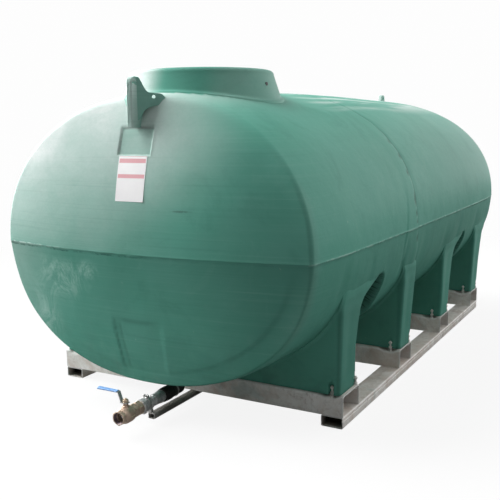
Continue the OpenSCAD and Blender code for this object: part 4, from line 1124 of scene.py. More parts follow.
def build_rear_lug(mat):
    lo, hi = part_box("rear_lifting_lug")
    y = (Y0 + 3050)
    z = hi.z / MM - 70
    out = [(-72, z - 30), (-70, z + 6), (-60, z + 11), (-42, z + 20), (-34, z + 34), (-27, z + 58), (-20, z + 66), (-10, z + 70), (18, z + 70), (28, z + 66), (36, z + 56), (44, z - 4), (46, z - 30)]
    p = extrude_outline("rear_lug_shell", out, 28, mat, holes=((6, z + 42, 11),), bevel=4, seg=3)
    p.data.transform(Matrix.Translation((0, y * MM, 0)) @ Matrix.Rotation(math.radians(90), 4, "Z"))
    return p


# ---------------------------------------------------------------- label
def build_label(mat):
    w, h, zc, xc = 168.0, 214.0, 1262.0, 0.0
    nx, nz = 24, 30
    v = []
    for j in range(nz + 1):
        for i in range(nx + 1):
            x = xc - w / 2 + w * i / nx
            z = zc - h / 2 + h * j / nz
            b = TT - off(-H)
            a = TA - off(-H)
            q = ((abs(x) / a) ** NT + (abs(z - ZQ) / b) ** NT) ** (1 / NT)
            zz = (z - ZQ) / (q * b)
            y = YM - (H + SAG - (SAG + 60 * zz * zz) * q * q)
            # the same slow waves as the skin
            p = np.array([[x, y, z]])
            d = (2.6 * lattice(p / 520.0, 1) + 1.1 * lattice(p / 230.0, 2) + 0.25 * lattice(p / 60.0, 3))[0]
            lift = 1.6 + 0.5 * math.exp(-((i - nx) ** 2 + j ** 2) / 14.0) * 3 + 0.35 * math.sin(x / 31.0 + z / 47.0)
            v.append([x, y - d - lift, z])
    F = grid_faces(nz + 1, nx + 1, wrap=False)
    ob = new_mesh("label_sheet", v, F, mat)
    s = ob.modifiers.new("thick", "SOLIDIFY")
    s.thickness, s.offset = 0.0006, -1
    apply_mods(ob)
    for p in ob.data.polygons:
        p.use_smooth = True
    sharp_by_angle(ob.data, 50)
    return ob


# ---------------------------------------------------------------- materials
def nodes_of(mat):
    mat.use_nodes = True
    nt = mat.node_tree
    nt.nodes.clear()
    out = nt.nodes.new("ShaderNodeOutputMaterial")
    b = nt.nodes.new("ShaderNodeBsdfPrincipled")
    nt.links.new(b.outputs[0], out.inputs[0])
    return nt, b


class Net:
    """Short calls for building a node tree."""

    def __init__(self, name):
        self.mat = bpy.data.materials.new(name)
        self.nt, self.b = nodes_of(self.mat)
        self.co = self.nt.nodes.new("ShaderNodeTexCoord").outputs["Object"]

    def link(self, a, b):
        self.nt.links.new(a, b)

    def val(self, sock, v):
        if hasattr(v, "is_linked") or hasattr(v, "links"):
            self.link(v, sock)
        else:
            sock.default_value = v

    def noise(self, scale, detail=3, rough=0.55, distort=0.0, vec=None, stretch=None):
        n = self.nt.nodes.new("ShaderNodeTexNoise")
        n.inputs["Scale"].default_value = scale
        n.inputs["Detail"].default_value = detail
        n.inputs["Roughness"].default_value = rough
        n.inputs["Distortion"].default_value = distort
        v = vec or self.co
        if stretch:
            m = self.nt.nodes.new("ShaderNodeMapping")
            m.inputs["Scale"].default_value = stretch
            self.link(v, m.inputs["Vector"])
            v = m.outputs[0]
        self.link(v, n.inputs["Vector"])
        return n.outputs["Fac"]

    def voronoi(self, scale, feature="F1", out="Distance", stretch=None, rand=1.0):
        n = self.nt.nodes.new("ShaderNodeTexVoronoi")
        n.feature = feature
        n.inputs["Scale"].default_value = scale
        n.inputs["Randomness"].default_value = rand
        v = self.co
        if stretch:
            m = self.nt.nodes.new("ShaderNodeMapping")
            m.inputs["Scale"].default_value = stretch
            self.link(v, m.inputs["Vector"])
            v = m.outputs[0]
        self.link(v, n.inputs["Vector"])
        return n.outputs[out]

    def ramp(self, fac, *stops, mode="LINEAR"):
        r = self.nt.nodes.new("ShaderNodeValToRGB")
        r.color_ramp.interpolation = mode
        el = r.color_ramp.elements
        while len(el) < len(stops):
            el.new(0.5)
        for e, (p, c) in zip(el, stops):
            e.position = p
            e.color = (c, c, c, 1) if not hasattr(c, "__len__") else (*c, 1)
        self.link(fac, r.inputs[0])
        return r.outputs[0]

    def mix(self, fac, a, b, mode="MIX"):
        m = self.nt.nodes.new("ShaderNodeMix")
        m.data_type, m.blend_type = "RGBA", mode
        self.val(m.inputs[0], fac)
        for s, v in ((m.inputs[6], a), (m.inputs[7], b)):
            if hasattr(v, "links"):
                self.link(v, s)
            else:
                s.default_value = (*v, 1) if len(v) == 3 else v
        return m.outputs[2]

    def math(self, op, a, b=0.0, c=None, clamp=False):
        m = self.nt.nodes.new("ShaderNodeMath")
        m.operation, m.use_clamp = op, clamp
        self.val(m.inputs[0], a)
        self.val(m.inputs[1], b)
        if c is not None:
            self.val(m.inputs[2], c)
        return m.outputs[0]

    def range(self, v, a, b, c=0.0, d=1.0, kind="SMOOTHSTEP"):
        m = self.nt.nodes.new("ShaderNodeMapRange")
        m.interpolation_type = kind
        self.val(m.inputs[0], v)
        for i, k in enumerate((a, b, c, d)):
            m.inputs[1 + i].default_value = k
        return m.outputs[0]

    def xyz(self):
        s = self.nt.nodes.new("ShaderNodeSeparateXYZ")
        self.link(self.co, s.inputs[0])
        return s.outputs

    def blob(self, centre, radius, soft=0.5):
        """1 inside a soft ellipsoid, in object metres."""
        m = self.nt.nodes.new("ShaderNodeMapping")
        m.inputs["Location"].default_value = tuple(-c / r for c, r in zip(centre, radius))
        m.inputs["Scale"].default_value = tuple(1 / r for r in radius)
        self.link(self.co, m.inputs["Vector"])
        v = self.nt.nodes.new("ShaderNodeVectorMath")
        v.operation = "LENGTH"
        self.link(m.outputs[0], v.inputs[0])
        return self.range(v.outputs["Value"], 1.0, 1.0 - soft, 0, 1)

    def normal_z(self):
        g = self.nt.nodes.new("ShaderNodeNewGeometry")
        s = self.nt.nodes.new("ShaderNodeSeparateXYZ")
        self.link(g.outputs["Normal"], s.inputs[0])
        return s.outputs[2]

    def pointy(self):
        g = self.nt.nodes.new("ShaderNodeNewGeometry")
        return g.outputs["Pointiness"]

    def bump(self, height, dist, strength=1.0, normal=None):
        n = self.nt.nodes.new("ShaderNodeBump")
        n.inputs["Strength"].default_value = strength
        n.inputs["Distance"].default_value = dist
        self.link(height, n.inputs["Height"])
        if normal is not None:
            self.link(normal, n.inputs["Normal"])
        return n.outputs[0]

    def set(self, color=None, rough=None, metal=None, normal=None, spec=None, coat=None, coat_rough=None):
        b = self.b
        for s, v in (("Base Color", color), ("Roughness", rough), ("Metallic", metal), ("Normal", normal), ("Specular IOR Level", spec), ("Coat Weight", coat), ("Coat Roughness", coat_rough)):
            if v is None:
                continue
            if hasattr(v, "links"):
                self.link(v, b.inputs[s])
            elif hasattr(v, "__len__"):
                b.inputs[s].default_value = (*v, 1)
            else:
                b.inputs[s].default_value = v
        return self.mat


def mat_green():
    n = Net("green_polyethylene")
    big = n.noise(0.9, 4, 0.6)
    mid = n.noise(3.5, 5, 0.62, 0.4)
    fine = n.noise(90, 3, 0.6)
    base = n.mix(n.range(big, 0.35, 0.65), (0.098, 0.338, 0.258), (0.116, 0.373, 0.289))
    base = n.mix(n.range(mid, 0.3, 0.75, 0, 0.35), base, (0.135, 0.365, 0.30))
    # chalky bloom where the sun falls, on what faces up
    up = n.range(n.normal_z(), 0.1, 0.95)
    chalk = n.math("MULTIPLY", up, n.range(n.noise(2.2, 6, 0.65, 0.6, stretch=(1, 0.5, 1)), 0.35, 0.7, 0.25, 1.0))
    base = n.mix(n.math("MULTIPLY", chalk, 0.08), base, (0.36, 0.54, 0.47))
    x, y, z = n.xyz()
    # cloudy wear: duller and paler patches over the whole moulding
    cloud = n.noise(2.4, 7, 0.68, 1.1)
    base = n.mix(n.range(cloud, 0.48, 0.36, 0, 0.15), base, (0.050, 0.195, 0.150))
    base = n.mix(n.range(cloud, 0.54, 0.68, 0, 0.14), base, (0.22, 0.47, 0.39))
    nick = n.math("MULTIPLY", n.range(n.noise(34, 5, 0.75, 0.3), 0.66, 0.74), n.range(n.noise(2.1, 3), 0.50, 0.62))
    base = n.mix(n.math("MULTIPLY", nick, 0.45), base, (0.42, 0.62, 0.55))
    # pale runs down the roof
    run = n.range(n.noise(1.0, 4, 0.6, 0.25, stretch=(7.0, 0.55, 2.0)), 0.46, 0.64)
    run2 = n.range(n.noise(1.0, 3, 0.6, 0.2, stretch=(16.0, 0.8, 3.0)), 0.50, 0.66)
    roof = n.math("MULTIPLY", n.range(z, 1.56, 1.655), n.range(y, -0.9, -0.4))
    runs = n.math("MULTIPLY", n.math("ADD", run, n.math("MULTIPLY", run2, 0.6), clamp=True), roof)
    base = n.mix(n.math("MULTIPLY", runs, 0.62), base, (0.72, 0.78, 0.76))
    # painted shade: darker under the parting line
    under = n.math("MULTIPLY", n.range(z, 0.905, 0.893), n.range(z, 0.40, 0.86))
    base = n.mix(n.math("MULTIPLY", under, 0.26), base, (0.035, 0.115, 0.088))
    # darker in noisy patches low down, and in streaks
    x, y, z = n.xyz()
    low = n.range(z, 0.75, 0.15)
    low_dark = n.math("MULTIPLY", low, n.range(n.noise(5, 6, 0.7, 0.5), 0.45, 0.75))
    base = n.mix(n.math("MULTIPLY", low_dark, 0.30), base, (0.075, 0.16, 0.125))
    streak = n.noise(6, 6, 0.7, 0.3, stretch=(6, 6, 0.35))
    base = n.mix(n.range(streak, 0.58, 0.78, 0, 0.20), base, (0.16, 0.38, 0.32))
    # scuffs: broad pale rubs and short scratches
    rub = n.blob((-0.50, -1.80, 0.74), (0.30, 0.3, 0.17), 0.9)
    rub2 = n.blob((-0.66, -1.78, 0.50), (0.16, 0.3, 0.24), 0.9)
    rub3 = n.blob((-0.28, -1.80, 0.80), (0.10, 0.3, 0.07), 0.9)
    smear = n.range(n.noise(5.5, 8, 0.76, 1.6, stretch=(1, 1, 0.7)), 0.42, 0.66)
    rubs = n.math("MULTIPLY", n.math("ADD", n.math("ADD", rub, rub2), rub3, clamp=True), smear)
    base = n.mix(n.math("MULTIPLY", rubs, 0.70), base, (0.34, 0.56, 0.49))
    scr = n.math("MULTIPLY", n.range(n.noise(30, 4, 0.6, 0.0, stretch=(1.0, 1.0, 9.0)), 0.66, 0.72), n.range(n.noise(1.7, 2), 0.5, 0.7))
    base = n.mix(n.math("MULTIPLY", scr, 0.28), base, (0.33, 0.52, 0.46))
    mark = n.math("MULTIPLY", n.blob((0.295, -1.84, 1.118), (0.075, 0.3, 0.0075), 0.8), n.range(n.noise(38, 4, 0.7), 0.38, 0.55, 0.15, 0.85))
    base = n.mix(mark, base, (0.05, 0.17, 0.135))
    # painted shade: darkened where the points ask for it
    at = n.nt.nodes.new("ShaderNodeAttribute")
    at.attribute_name = "painted_shade"
    base = n.mix(at.outputs["Fac"], base, (0.014, 0.040, 0.033))
    # painted highlight: paler where the points ask for it, broken up by noise
    pale = n.nt.nodes.new("ShaderNodeAttribute")
    pale.attribute_name = "painted_highlight"
    drift = n.range(n.noise(3.0, 6, 0.66, 0.8, stretch=(1, 1, 1.6)), 0.30, 0.70, 0.86, 1.10)
    grainy = n.range(n.noise(60, 4, 0.7), 0.35, 0.65, 0.96, 1.04)
    base = n.mix(n.math("MULTIPLY", pale.outputs["Fac"], n.math("MULTIPLY", drift, grainy), clamp=True), base, (0.74, 0.775, 0.765))
    # painted highlight: pale convex edges; the dark corners further down are painted shade
    pt = n.pointy()
    plain = n.math("ADD", n.range(z, 0.58, 0.63, 1, 0), n.range(z, 0.80, 0.90), clamp=True)
    base = n.mix(n.math("MULTIPLY", n.range(pt, 0.53, 0.62, 0, 0.5), plain), base, (0.27, 0.50, 0.43))
    # the parting flash: a thin pale broken line, ragged on the front end's left
    wob = n.math("MULTIPLY", n.math("SUBTRACT", n.noise(24, 4, 0.7, 0.5), 0.5), 0.016)
    gap = n.math("ABSOLUTE", n.math("ADD", n.math("SUBTRACT", z, 0.9005), wob))
    line = n.math("MULTIPLY", n.range(gap, 0.0055, 0.0020), n.range(n.noise(17, 5, 0.7), 0.40, 0.58, 0.10, 0.85))
    left = n.math("MAXIMUM", n.range(x, -0.30, -0.80), n.math("MULTIPLY", n.range(x, 0.88, 0.955), 0.42))
    base = n.mix(n.math("MULTIPLY", line, left), base, (0.52, 0.70, 0.64))
    # painted shadow: a dark line just under the parting line, strongest on the left
    gap2 = n.math("ABSOLUTE", n.math("ADD", n.math("SUBTRACT", z, 0.888), wob))
    bead_shadow = n.math("MULTIPLY", n.range(gap2, 0.006, 0.002), n.range(n.noise(11, 5, 0.7, 0.4), 0.42, 0.60, 0.0, 0.7))
    base = n.mix(n.math("MULTIPLY", bead_shadow, n.range(x, 0.35, -0.25, 0.15, 1.0)), base, (0.03, 0.10, 0.08))
    # thin level lines left by the mould's finish
    fine_h = n.noise(3.6, 5, 0.75, 0.0, stretch=(0.25, 0.25, 30.0))
    face = n.range(y, -1.72, -1.45, 1.0, 0.35)
    base = n.mix(n.math("MULTIPLY", n.range(fine_h, 0.52, 0.70, 0, 0.10), face), base, (0.30, 0.52, 0.45))
    base = n.mix(n.math("MULTIPLY", n.range(fine_h, 0.48, 0.32, 0, 0.12), face), base, (0.045, 0.16, 0.125))
    # painted shade in concave corners and creases
    base = n.mix(n.range(pt, 0.47, 0.40, 0, 0.55), base, (0.04, 0.13, 0.10))
    rough = n.math("ADD", 0.42, n.math("MULTIPLY", mid, 0.16))
    rough = n.math("ADD", rough, n.math("MULTIPLY", chalk, 0.10))
    h = n.math("ADD", n.math("MULTIPLY", fine, 0.35), n.math("MULTIPLY", n.noise(24, 4, 0.6), 1.0))
    nb = n.bump(h, 0.0022, 0.35)
    nb = n.bump(n.noise(5.5, 3, 0.5), 0.010, 0.35, nb)
    return n.set(base, rough, 0.0, nb, 0.05)


def mat_black(name, col=(0.022, 0.024, 0.024), r=0.42):
    n = Net(name)
    m = n.noise(18, 5, 0.6)
    c = n.mix(n.range(m, 0.35, 0.7), col, tuple(k * 1.7 for k in col))
    dust = n.math("MULTIPLY", n.range(n.normal_z(), 0.3, 1.0), n.range(n.noise(7, 6, 0.7), 0.4, 0.75))
    c = n.mix(n.math("MULTIPLY", dust, 0.35), c, (0.16, 0.155, 0.14))
    # painted highlight on convex edges
    c = n.mix(n.range(n.pointy(), 0.53, 0.62, 0, 0.4), c, (0.12, 0.12, 0.115))
    rough = n.math("ADD", r, n.math("MULTIPLY", n.noise(40, 4), 0.2))
    return n.set(c, rough, 0.0, n.bump(n.noise(140, 4), 0.0006, 0.5), 0.5)


def mat_galv(name="galvanised_steel", light=(0.56, 0.56, 0.54), dark=(0.24, 0.235, 0.22), rust=0.22, metal=0.65):
    n = Net(name)
    sp = n.voronoi(70, out="Color", stretch=(1, 1, 1))
    s = n.nt.nodes.new("ShaderNodeSeparateColor")
    n.link(sp, s.inputs[0])
    spangle = s.outputs[0]
    cloud = n.noise(4.5, 6, 0.65, 0.6)
    cloud2 = n.noise(16, 6, 0.7, 0.8)
    c = n.mix(n.range(cloud, 0.32, 0.68), dark, light)
    c = n.mix(n.math("MULTIPLY", spangle, 0.30), c, tuple(min(1, k * 1.35) for k in light))
    c = n.mix(n.range(cloud2, 0.5, 0.78, 0, 0.55), c, tuple(k * 0.62 for k in dark))
    run = n.noise(9, 5, 0.6, 0.2, stretch=(5, 5, 0.5))
    c = n.mix(n.range(run, 0.55, 0.75, 0, 0.45), c, (0.68, 0.68, 0.66))
    rs = n.range(n.noise(6.5, 7, 0.72, 1.0), 0.52, 0.72, 0, rust)
    c = n.mix(rs, c, (0.26, 0.17, 0.12))
    warm = n.range(n.noise(3.1, 6, 0.7, 0.9), 0.46, 0.66)
    c = n.mix(n.math("MULTIPLY", warm, rust), c, (0.62, 0.50, 0.43), "MIX")
    cool = n.range(n.noise(4.2, 5, 0.7, 0.6), 0.55, 0.72)
    c = n.mix(n.math("MULTIPLY", cool, rust * 0.8), c, (0.46, 0.56, 0.53), "MIX")
    # painted highlight on convex edges, painted shade in concave corners
    c = n.mix(n.range(n.pointy(), 0.52, 0.60, 0, 0.7), c, (0.72, 0.72, 0.70))
    c = n.mix(n.range(n.pointy(), 0.485, 0.42, 0, 0.75), c, (0.10, 0.085, 0.07))
    # painted shade inside the tube ends, mixed with rust brown
    inner = n.nt.nodes.new("ShaderNodeAttribute")
    inner.attribute_name = "inside"
    c = n.mix(inner.outputs["Fac"], c, n.mix(n.range(n.noise(14, 4), 0.45, 0.6), (0.030, 0.024, 0.018), (0.16, 0.10, 0.05)))
    # pale edges: painted highlight along bends and corners, with wear on the sawn ends
    at = n.nt.nodes.new("ShaderNodeAttribute")
    at.attribute_name = "wear_and_sheen"
    c = n.mix(n.math("MULTIPLY", at.outputs["Fac"], n.range(n.noise(13, 5, 0.7), 0.30, 0.55, 0.25, 0.9)), c, (0.80, 0.80, 0.78))
    c = n.mix(n.range(n.normal_z(), 0.6, 0.95, 0, 0.34), c, (0.36, 0.34, 0.30))
    rough = n.math("ADD", 0.42, n.math("MULTIPLY", cloud2, 0.25))
    nb = n.bump(n.math("ADD", n.math("MULTIPLY", spangle, 0.25), n.noise(55, 4)), 0.0012, 0.5)
    met = n.math("SUBTRACT", metal, n.math("MULTIPLY", rs, 1.2), clamp=True)
    return n.set(c, rough, met, nb)


def mat_pipe():
    n = Net("galvanised_pipework")
    a = n.noise(26, 6, 0.66, 0.5)
    c = n.mix(n.range(a, 0.35, 0.68), (0.44, 0.45, 0.46), (0.90, 0.90, 0.89))
    c = n.mix(n.range(n.noise(48, 6, 0.72), 0.56, 0.74, 0, 0.6), c, (0.16, 0.15, 0.15))
    # painted highlight on convex edges, painted shade in concave corners
    c = n.mix(n.range(n.pointy(), 0.52, 0.60, 0, 0.7), c, (0.90, 0.90, 0.89))
    c = n.mix(n.range(n.pointy(), 0.47, 0.41, 0, 0.85), c, (0.05, 0.05, 0.05))
    rough = n.math("ADD", 0.20, n.math("MULTIPLY", a, 0.22))
    return n.set(c, rough, 0.4, n.bump(n.noise(120, 4), 0.0005, 0.5))


def mat_brass():
    n = Net("valve_brass")
    a = n.noise(28, 6, 0.68, 0.5)
    c = n.mix(n.range(a, 0.35, 0.7), (0.56, 0.41, 0.32), (0.78, 0.62, 0.50))
    c = n.mix(n.range(n.noise(60, 5, 0.7), 0.55, 0.75, 0, 0.6), c, (0.20, 0.13, 0.09))
    # painted highlight on convex edges, painted shade in concave corners
    c = n.mix(n.range(n.pointy(), 0.52, 0.60, 0, 0.75), c, (0.88, 0.78, 0.52))
    c = n.mix(n.range(n.pointy(), 0.47, 0.40, 0, 0.8), c, (0.09, 0.06, 0.05))
    x, y, z = n.xyz()
    # dull purplish grey inside the mouth
    r = n.nt.nodes.new("ShaderNodeVectorMath")
    r.operation = "LENGTH"
    m = n.nt.nodes.new("ShaderNodeMapping")
    m.inputs["Location"].default_value = (0, 0, -OUT_Z * MM)
    m.inputs["Scale"].default_value = (1, 0, 1)
    n.link(n.co, m.inputs["Vector"])
    n.link(m.outputs[0], r.inputs[0])
    inside = n.math("MULTIPLY", n.range(r.outputs["Value"], 0.0302, 0.0292), n.range(y, (Y0 - 600) * MM, (Y0 - 606) * MM))
    c = n.mix(n.math("MULTIPLY", inside, 0.85), c, (0.12, 0.09, 0.12))
    rough = n.math("ADD", 0.28, n.math("MULTIPLY", a, 0.22))
    return n.set(c, rough, 0.6, n.bump(n.noise(170, 4), 0.0006, 0.6))


def mat_steel(name, col, rough0, metal=0.9):
    n = Net(name)
    a = n.noise(35, 6, 0.66, 0.4)
    c = n.mix(n.range(a, 0.35, 0.7), tuple(k * 0.6 for k in col), col)
    # painted highlight on convex edges
    c = n.mix(n.range(n.pointy(), 0.52, 0.60, 0, 0.6), c, (0.85, 0.85, 0.84))
    rough = n.math("ADD", rough0, n.math("MULTIPLY", n.noise(80, 4), 0.2))
    return n.set(c, rough, metal, n.bump(n.noise(200, 3), 0.0004, 0.5))


def mat_blue():
    n = Net("blue_sleeve")
    c = n.mix(n.range(n.noise(45, 6, 0.7), 0.45, 0.75), (0.16, 0.34, 0.68), (0.30, 0.48, 0.76))
    c = n.mix(n.range(n.noise(25, 6, 0.75), 0.56, 0.7, 0, 0.7), c, (0.34, 0.40, 0.47))
    # painted highlight on convex edges
    c = n.mix(n.range(n.pointy(), 0.53, 0.62, 0, 0.6), c, (0.45, 0.55, 0.72))
    return n.set(c, 0.38, 0.0, n.bump(n.noise(160, 4), 0.0005, 0.5), 0.5)


def mat_label():
    n = Net("label_vinyl")
    x, y, z = n.xyz()
    paper = n.mix(n.range(n.noise(9, 4), 0.35, 0.7), (0.93, 0.92, 0.93), (0.98, 0.98, 0.98))
    zt = 1.263 + 0.109

    def band(a, b, top_soft=0.0012):
        up = n.range(z, b - top_soft, b + top_soft, 1, 0)
        dn = n.range(z, a - top_soft, a + top_soft, 0, 1)
        return n.math("MULTIPLY", up, dn)

    def across(x0, x1, s=0.0012):
        return n.math("MULTIPLY", n.range(x, x0 - s, x0 + s, 0, 1), n.range(x, x1 - s, x1 + s, 1, 0))

    red = (0.72, 0.20, 0.24)
    full = across(-0.079, 0.079)
    c = paper
    for a, b in ((zt - 0.034, zt - 0.014), (zt - 0.106, zt - 0.088)):
        m = n.math("MULTIPLY", band(a, b), full)
        c = n.mix(n.math("MULTIPLY", m, 0.72), c, red)
    c = n.mix(n.math("MULTIPLY", band(zt - 0.0045, zt - 0.0015, 0.0006), 0.7), c, (0.75, 0.25, 0.27))
    c = n.mix(n.range(n.noise(22, 6, 0.7), 0.60, 0.78, 0, 0.18), c, (0.70, 0.72, 0.70))
    return n.set(c, n.math("ADD", 0.30, n.math("MULTIPLY", n.noise(30, 3), 0.15)), 0.0, n.bump(n.noise(26, 3), 0.0009, 0.4), 0.5)


# ---------------------------------------------------------------- camera, light and floor
def build_camera():
    yaw, pitch, roll = math.radians(29.57), math.radians(9.35), math.radians(-0.83)
    fwd = Vector((-math.sin(yaw) * math.cos(pitch), math.cos(yaw) * math.cos(pitch), -math.sin(pitch)))
    right = Vector((math.cos(yaw), math.sin(yaw), 0))
    up = right.cross(fwd)
    r2 = math.cos(roll) * right + math.sin(roll) * up
    u2 = -math.sin(roll) * right + math.cos(roll) * up
    m = Matrix((r2, u2, -fwd)).transposed().to_4x4()
    m.translation = Vector((2.2765, -4.6823, 1.5037))
    cd = bpy.data.cameras.new("camera")
    cd.sensor_width, cd.sensor_fit = 36.0, "HORIZONTAL"
    cd.lens = 751.7 / 500 * 36.0
    cd.clip_end = 400
    ob = bpy.data.objects.new("camera", cd)
    scene.collection.objects.link(ob)
    ob.matrix_world = m
    scene.camera = ob
    return ob


WHITE = 0.985                                    # the even backdrop the camera sees
LOBES = ((-135, 8, 1.45), (-105, 8, 10.9), (15, 8, 0.19), (105, 38, 0.36), (135, 8, 0.85), (135, 38, 0.25), (165, 8, 2.75), (90, 66, 1.24))
SUNS = ((-75, 12, 1.06, 30), (-75, 42, 3.86, 50), (-75, 60, 0.46, 30))


def build_stage():
    n = Net("floor_pale")
    nt = n.nt
    c = n.mix(n.range(n.noise(0.8, 4), 0.3, 0.7), (0.80, 0.80, 0.80), (0.82, 0.82, 0.82))
    n.set(c, 0.9, 0.0, spec=0.0)
    seen = nt.nodes.new("ShaderNodeLightPath").outputs["Is Camera Ray"]
    glow = nt.nodes.new("ShaderNodeEmission")
    glow.inputs[0].default_value = (1, 1, 1, 1)
    glow.inputs[1].default_value = WHITE
    dull = nt.nodes.new("ShaderNodeBsdfDiffuse")
    dull.inputs[0].default_value = (0.2, 0.2, 0.2, 1)
    far = n.nt.nodes.new("ShaderNodeVectorMath")
    far.operation = "LENGTH"
    nt.links.new(n.co, far.inputs[0])
    pale = nt.nodes.new("ShaderNodeMixShader")
    nt.links.new(n.range(far.outputs["Value"], 2.0, 5.5, 0.90, 1.0), pale.inputs[0])
    nt.links.new(n.b.outputs[0], pale.inputs[1])
    nt.links.new(glow.outputs[0], pale.inputs[2])
    both = nt.nodes.new("ShaderNodeMixShader")
    nt.links.new(seen, both.inputs[0])
    nt.links.new(dull.outputs[0], both.inputs[1])
    nt.links.new(pale.outputs[0], both.inputs[2])
    nt.links.new(both.outputs[0], [x for x in nt.nodes if x.bl_idname == "ShaderNodeOutputMaterial"][0].inputs[0])
    th = np.linspace(0, 2 * math.pi, 96, endpoint=False)
    rings = [(2000.0), (6000.0), (20000.0), (90000.0)]
    v = [[0, 0, 0]]
    for r in rings:
        v += [[r * math.cos(a), r * math.sin(a), 0] for a in th]
    f = [(0, 1 + k, 1 + (k + 1) % 96) for k in range(96)]
    f += [tuple(i + 1 for i in q) for q in grid_faces(len(rings), 96)]
    ob = new_mesh("floor", v, f, n.mat)
    w = bpy.data.worlds.new("studio")
    scene.world = w
    w.use_nodes = True
    nt = w.node_tree
    nt.nodes.clear()
    out = nt.nodes.new("ShaderNodeOutputWorld")
    see = nt.nodes.new("ShaderNodeBackground")
    see.inputs[0].default_value = (1, 1, 1, 1)
    see.inputs[1].default_value = WHITE
    lit = nt.nodes.new("ShaderNodeBackground")
    lit.inputs[0].default_value = (1.0, 1.0, 1.0, 1)
    tc = nt.nodes.new("ShaderNodeTexCoord")
    total = None
    for az, el, power in LOBES:                  # soft panels, as smooth patches of the surround
        a, e = math.radians(az), math.radians(el)
        dot = nt.nodes.new("ShaderNodeVectorMath")
        dot.operation = "DOT_PRODUCT"
        dot.inputs[1].default_value = (math.sin(a) * math.cos(e), -math.cos(a) * math.cos(e), math.sin(e))
        nt.links.new(tc.outputs["Generated"], dot.inputs[0])
        mr = nt.nodes.new("ShaderNodeMapRange")
        mr.interpolation_type = "SMOOTHSTEP"
        mr.inputs[1].default_value, mr.inputs[2].default_value = math.cos(math.radians(36)), math.cos(math.radians(10))
        mr.inputs[3].default_value, mr.inputs[4].default_value = 0.0, power
        nt.links.new(dot.outputs["Value"], mr.inputs[0])
        if total is None:
            total = mr.outputs[0]
        else:
            ad = nt.nodes.new("ShaderNodeMath")
            ad.operation = "ADD"
            nt.links.new(total, ad.inputs[0])
            nt.links.new(mr.outputs[0], ad.inputs[1])
            total = ad.outputs[0]
    ad = nt.nodes.new("ShaderNodeMath")
    ad.operation = "ADD"
    nt.links.new(total, ad.inputs[0])
    ad.inputs[1].default_value = 0.03
    nt.links.new(ad.outputs[0], lit.inputs[1])
    lp = nt.nodes.new("ShaderNodeLightPath")
    mx = nt.nodes.new("ShaderNodeMixShader")
    nt.links.new(lp.outputs["Is Camera Ray"], mx.inputs[0])
    nt.links.new(lit.outputs[0], mx.inputs[1])
    nt.links.new(see.outputs[0], mx.inputs[2])
    nt.links.new(mx.outputs[0], out.inputs[0])
    for k, (az, el, power, spread) in enumerate(SUNS):
        a, e = math.radians(az), math.radians(el)
        d = Vector((math.sin(a) * math.cos(e), -math.cos(a) * math.cos(e), math.sin(e)))
        ld = bpy.data.lights.new(f"soft_key_{k}", "SUN")
        ld.energy, ld.angle = power, math.radians(spread)
        ob = bpy.data.objects.new(f"soft_key_{k}", ld)
        scene.collection.objects.link(ob)
        ob.rotation_euler = (-d).to_track_quat("-Z", "Y").to_euler()
    scene.view_settings.view_transform = "Standard"
    scene.view_settings.look = "None"


build_camera()
build_stage()

GREEN = mat_green()
BLACK = mat_black("black_plastic")
FITTING = mat_black("black_pipe_fitting", (0.02, 0.019, 0.018), 0.5)
GALV = mat_galv(light=(0.95, 0.935, 0.90), dark=(0.66, 0.605, 0.54), rust=0.68, metal=0.0)
DARKGALV = mat_galv("dark_galvanised", (0.38, 0.37, 0.345), (0.19, 0.18, 0.165), 0.35, 0.15)
PIPE = mat_pipe()
ZINC = mat_steel("zinc_fasteners", (0.95, 0.93, 0.87), 0.45, 0.0)
CLAMP = mat_steel("bright_clamp_steel", (0.72, 0.72, 0.70), 0.25)
BRASS = mat_brass()
CHROME = mat_steel("ball_chrome", (0.85, 0.85, 0.86), 0.08, 1.0)
LEVER = mat_steel("lever_steel", (0.30, 0.31, 0.33), 0.35)
BLUE = mat_blue()
LABEL = mat_label()

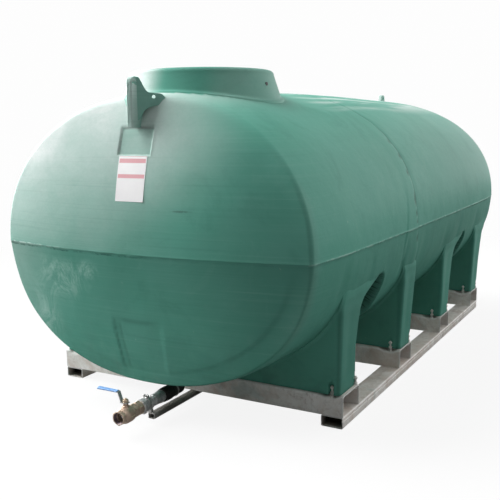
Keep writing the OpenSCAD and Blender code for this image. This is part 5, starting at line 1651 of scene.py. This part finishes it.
ROOT = "tank_and_skid"
HAND = "valve_handle"
finish_piece(mark_painted_highlight(build_body(GREEN)), ROOT, "green_polyethylene", "tank_barrel", "front_end", "rear_end", "mid_band")
finish_piece(mark_painted_highlight(build_neck(GREEN)), ROOT, "green_polyethylene", "neck")
finish_piece(build_lid(BLACK), ROOT, "black_plastic", "lid")
for i in range(4):
    finish_piece(build_leg(i, GREEN), ROOT, "green_polyethylene", f"leg_{i + 1}")
for i in range(4):
    finish_piece(build_beam(i, GALV), ROOT, "galvanised_steel", f"cross_beam_{i + 1}")
    finish_piece(build_bolts(i, ZINC), ROOT, "zinc_fasteners", f"hold_down_bolts_{i + 1}")
finish_piece(build_rail(1, GALV), ROOT, "galvanised_steel", "skid_rail_right")
finish_piece(build_rail(-1, GALV), ROOT, "galvanised_steel", "skid_rail_left")
finish_piece(build_welds(GALV), ROOT, "galvanised_steel")
finish_piece(mark_lug_highlight(build_front_lug(GREEN)), ROOT, "green_polyethylene", "front_lifting_lug")
finish_piece(build_rear_lug(GREEN), ROOT, "green_polyethylene", "rear_lifting_lug")
finish_piece(build_label(LABEL), ROOT, "label_vinyl", "label")

finish_piece(build_collar(FITTING), ROOT, "black_pipe_fitting", "black_collar")
finish_piece(build_elbow_ring(CLAMP), ROOT, "bright_clamp_steel", "elbow_ring")
finish_piece(build_pipe(PIPE), ROOT, "galvanised_pipework", "galvanised_pipe")
finish_piece(build_socket(PIPE), ROOT, "galvanised_pipework", "steel_socket")
finish_piece(build_clamp(CLAMP), ROOT, "bright_clamp_steel", "hose_clamp")
finish_piece(build_nipple(BRASS), ROOT, "valve_brass", "hex_nipple")
finish_piece(build_valve_body(BRASS), ROOT, "valve_brass", "valve_body")
finish_piece(build_stem(BRASS), HAND, "valve_brass", "valve_stem")
finish_piece(build_sleeve(BLUE), HAND, "blue_sleeve", "lever_sleeve")
finish_piece(build_arm(DARKGALV), ROOT, "dark_galvanised", "support_arm")

# CAD nodes whose shape is right: they keep it and get their finish
paint = {
    DARKGALV: ["arm_strap"], FITTING: ["outlet_elbow"], CHROME: ["valve_ball"], LEVER: ["valve_lever"], BLACK: ["neck_plug"],
}
for m, names in paint.items():
    for nm in names:
        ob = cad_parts[nm]
        ob.data.materials.clear()
        ob.data.materials.append(m)
        if nm in ("arm_strap", "valve_lever"):
            b = ob.modifiers.new("eased", "BEVEL")
            b.width, b.segments, b.limit_method, b.angle_limit = 0.0008, 2, "ANGLE", math.radians(40)
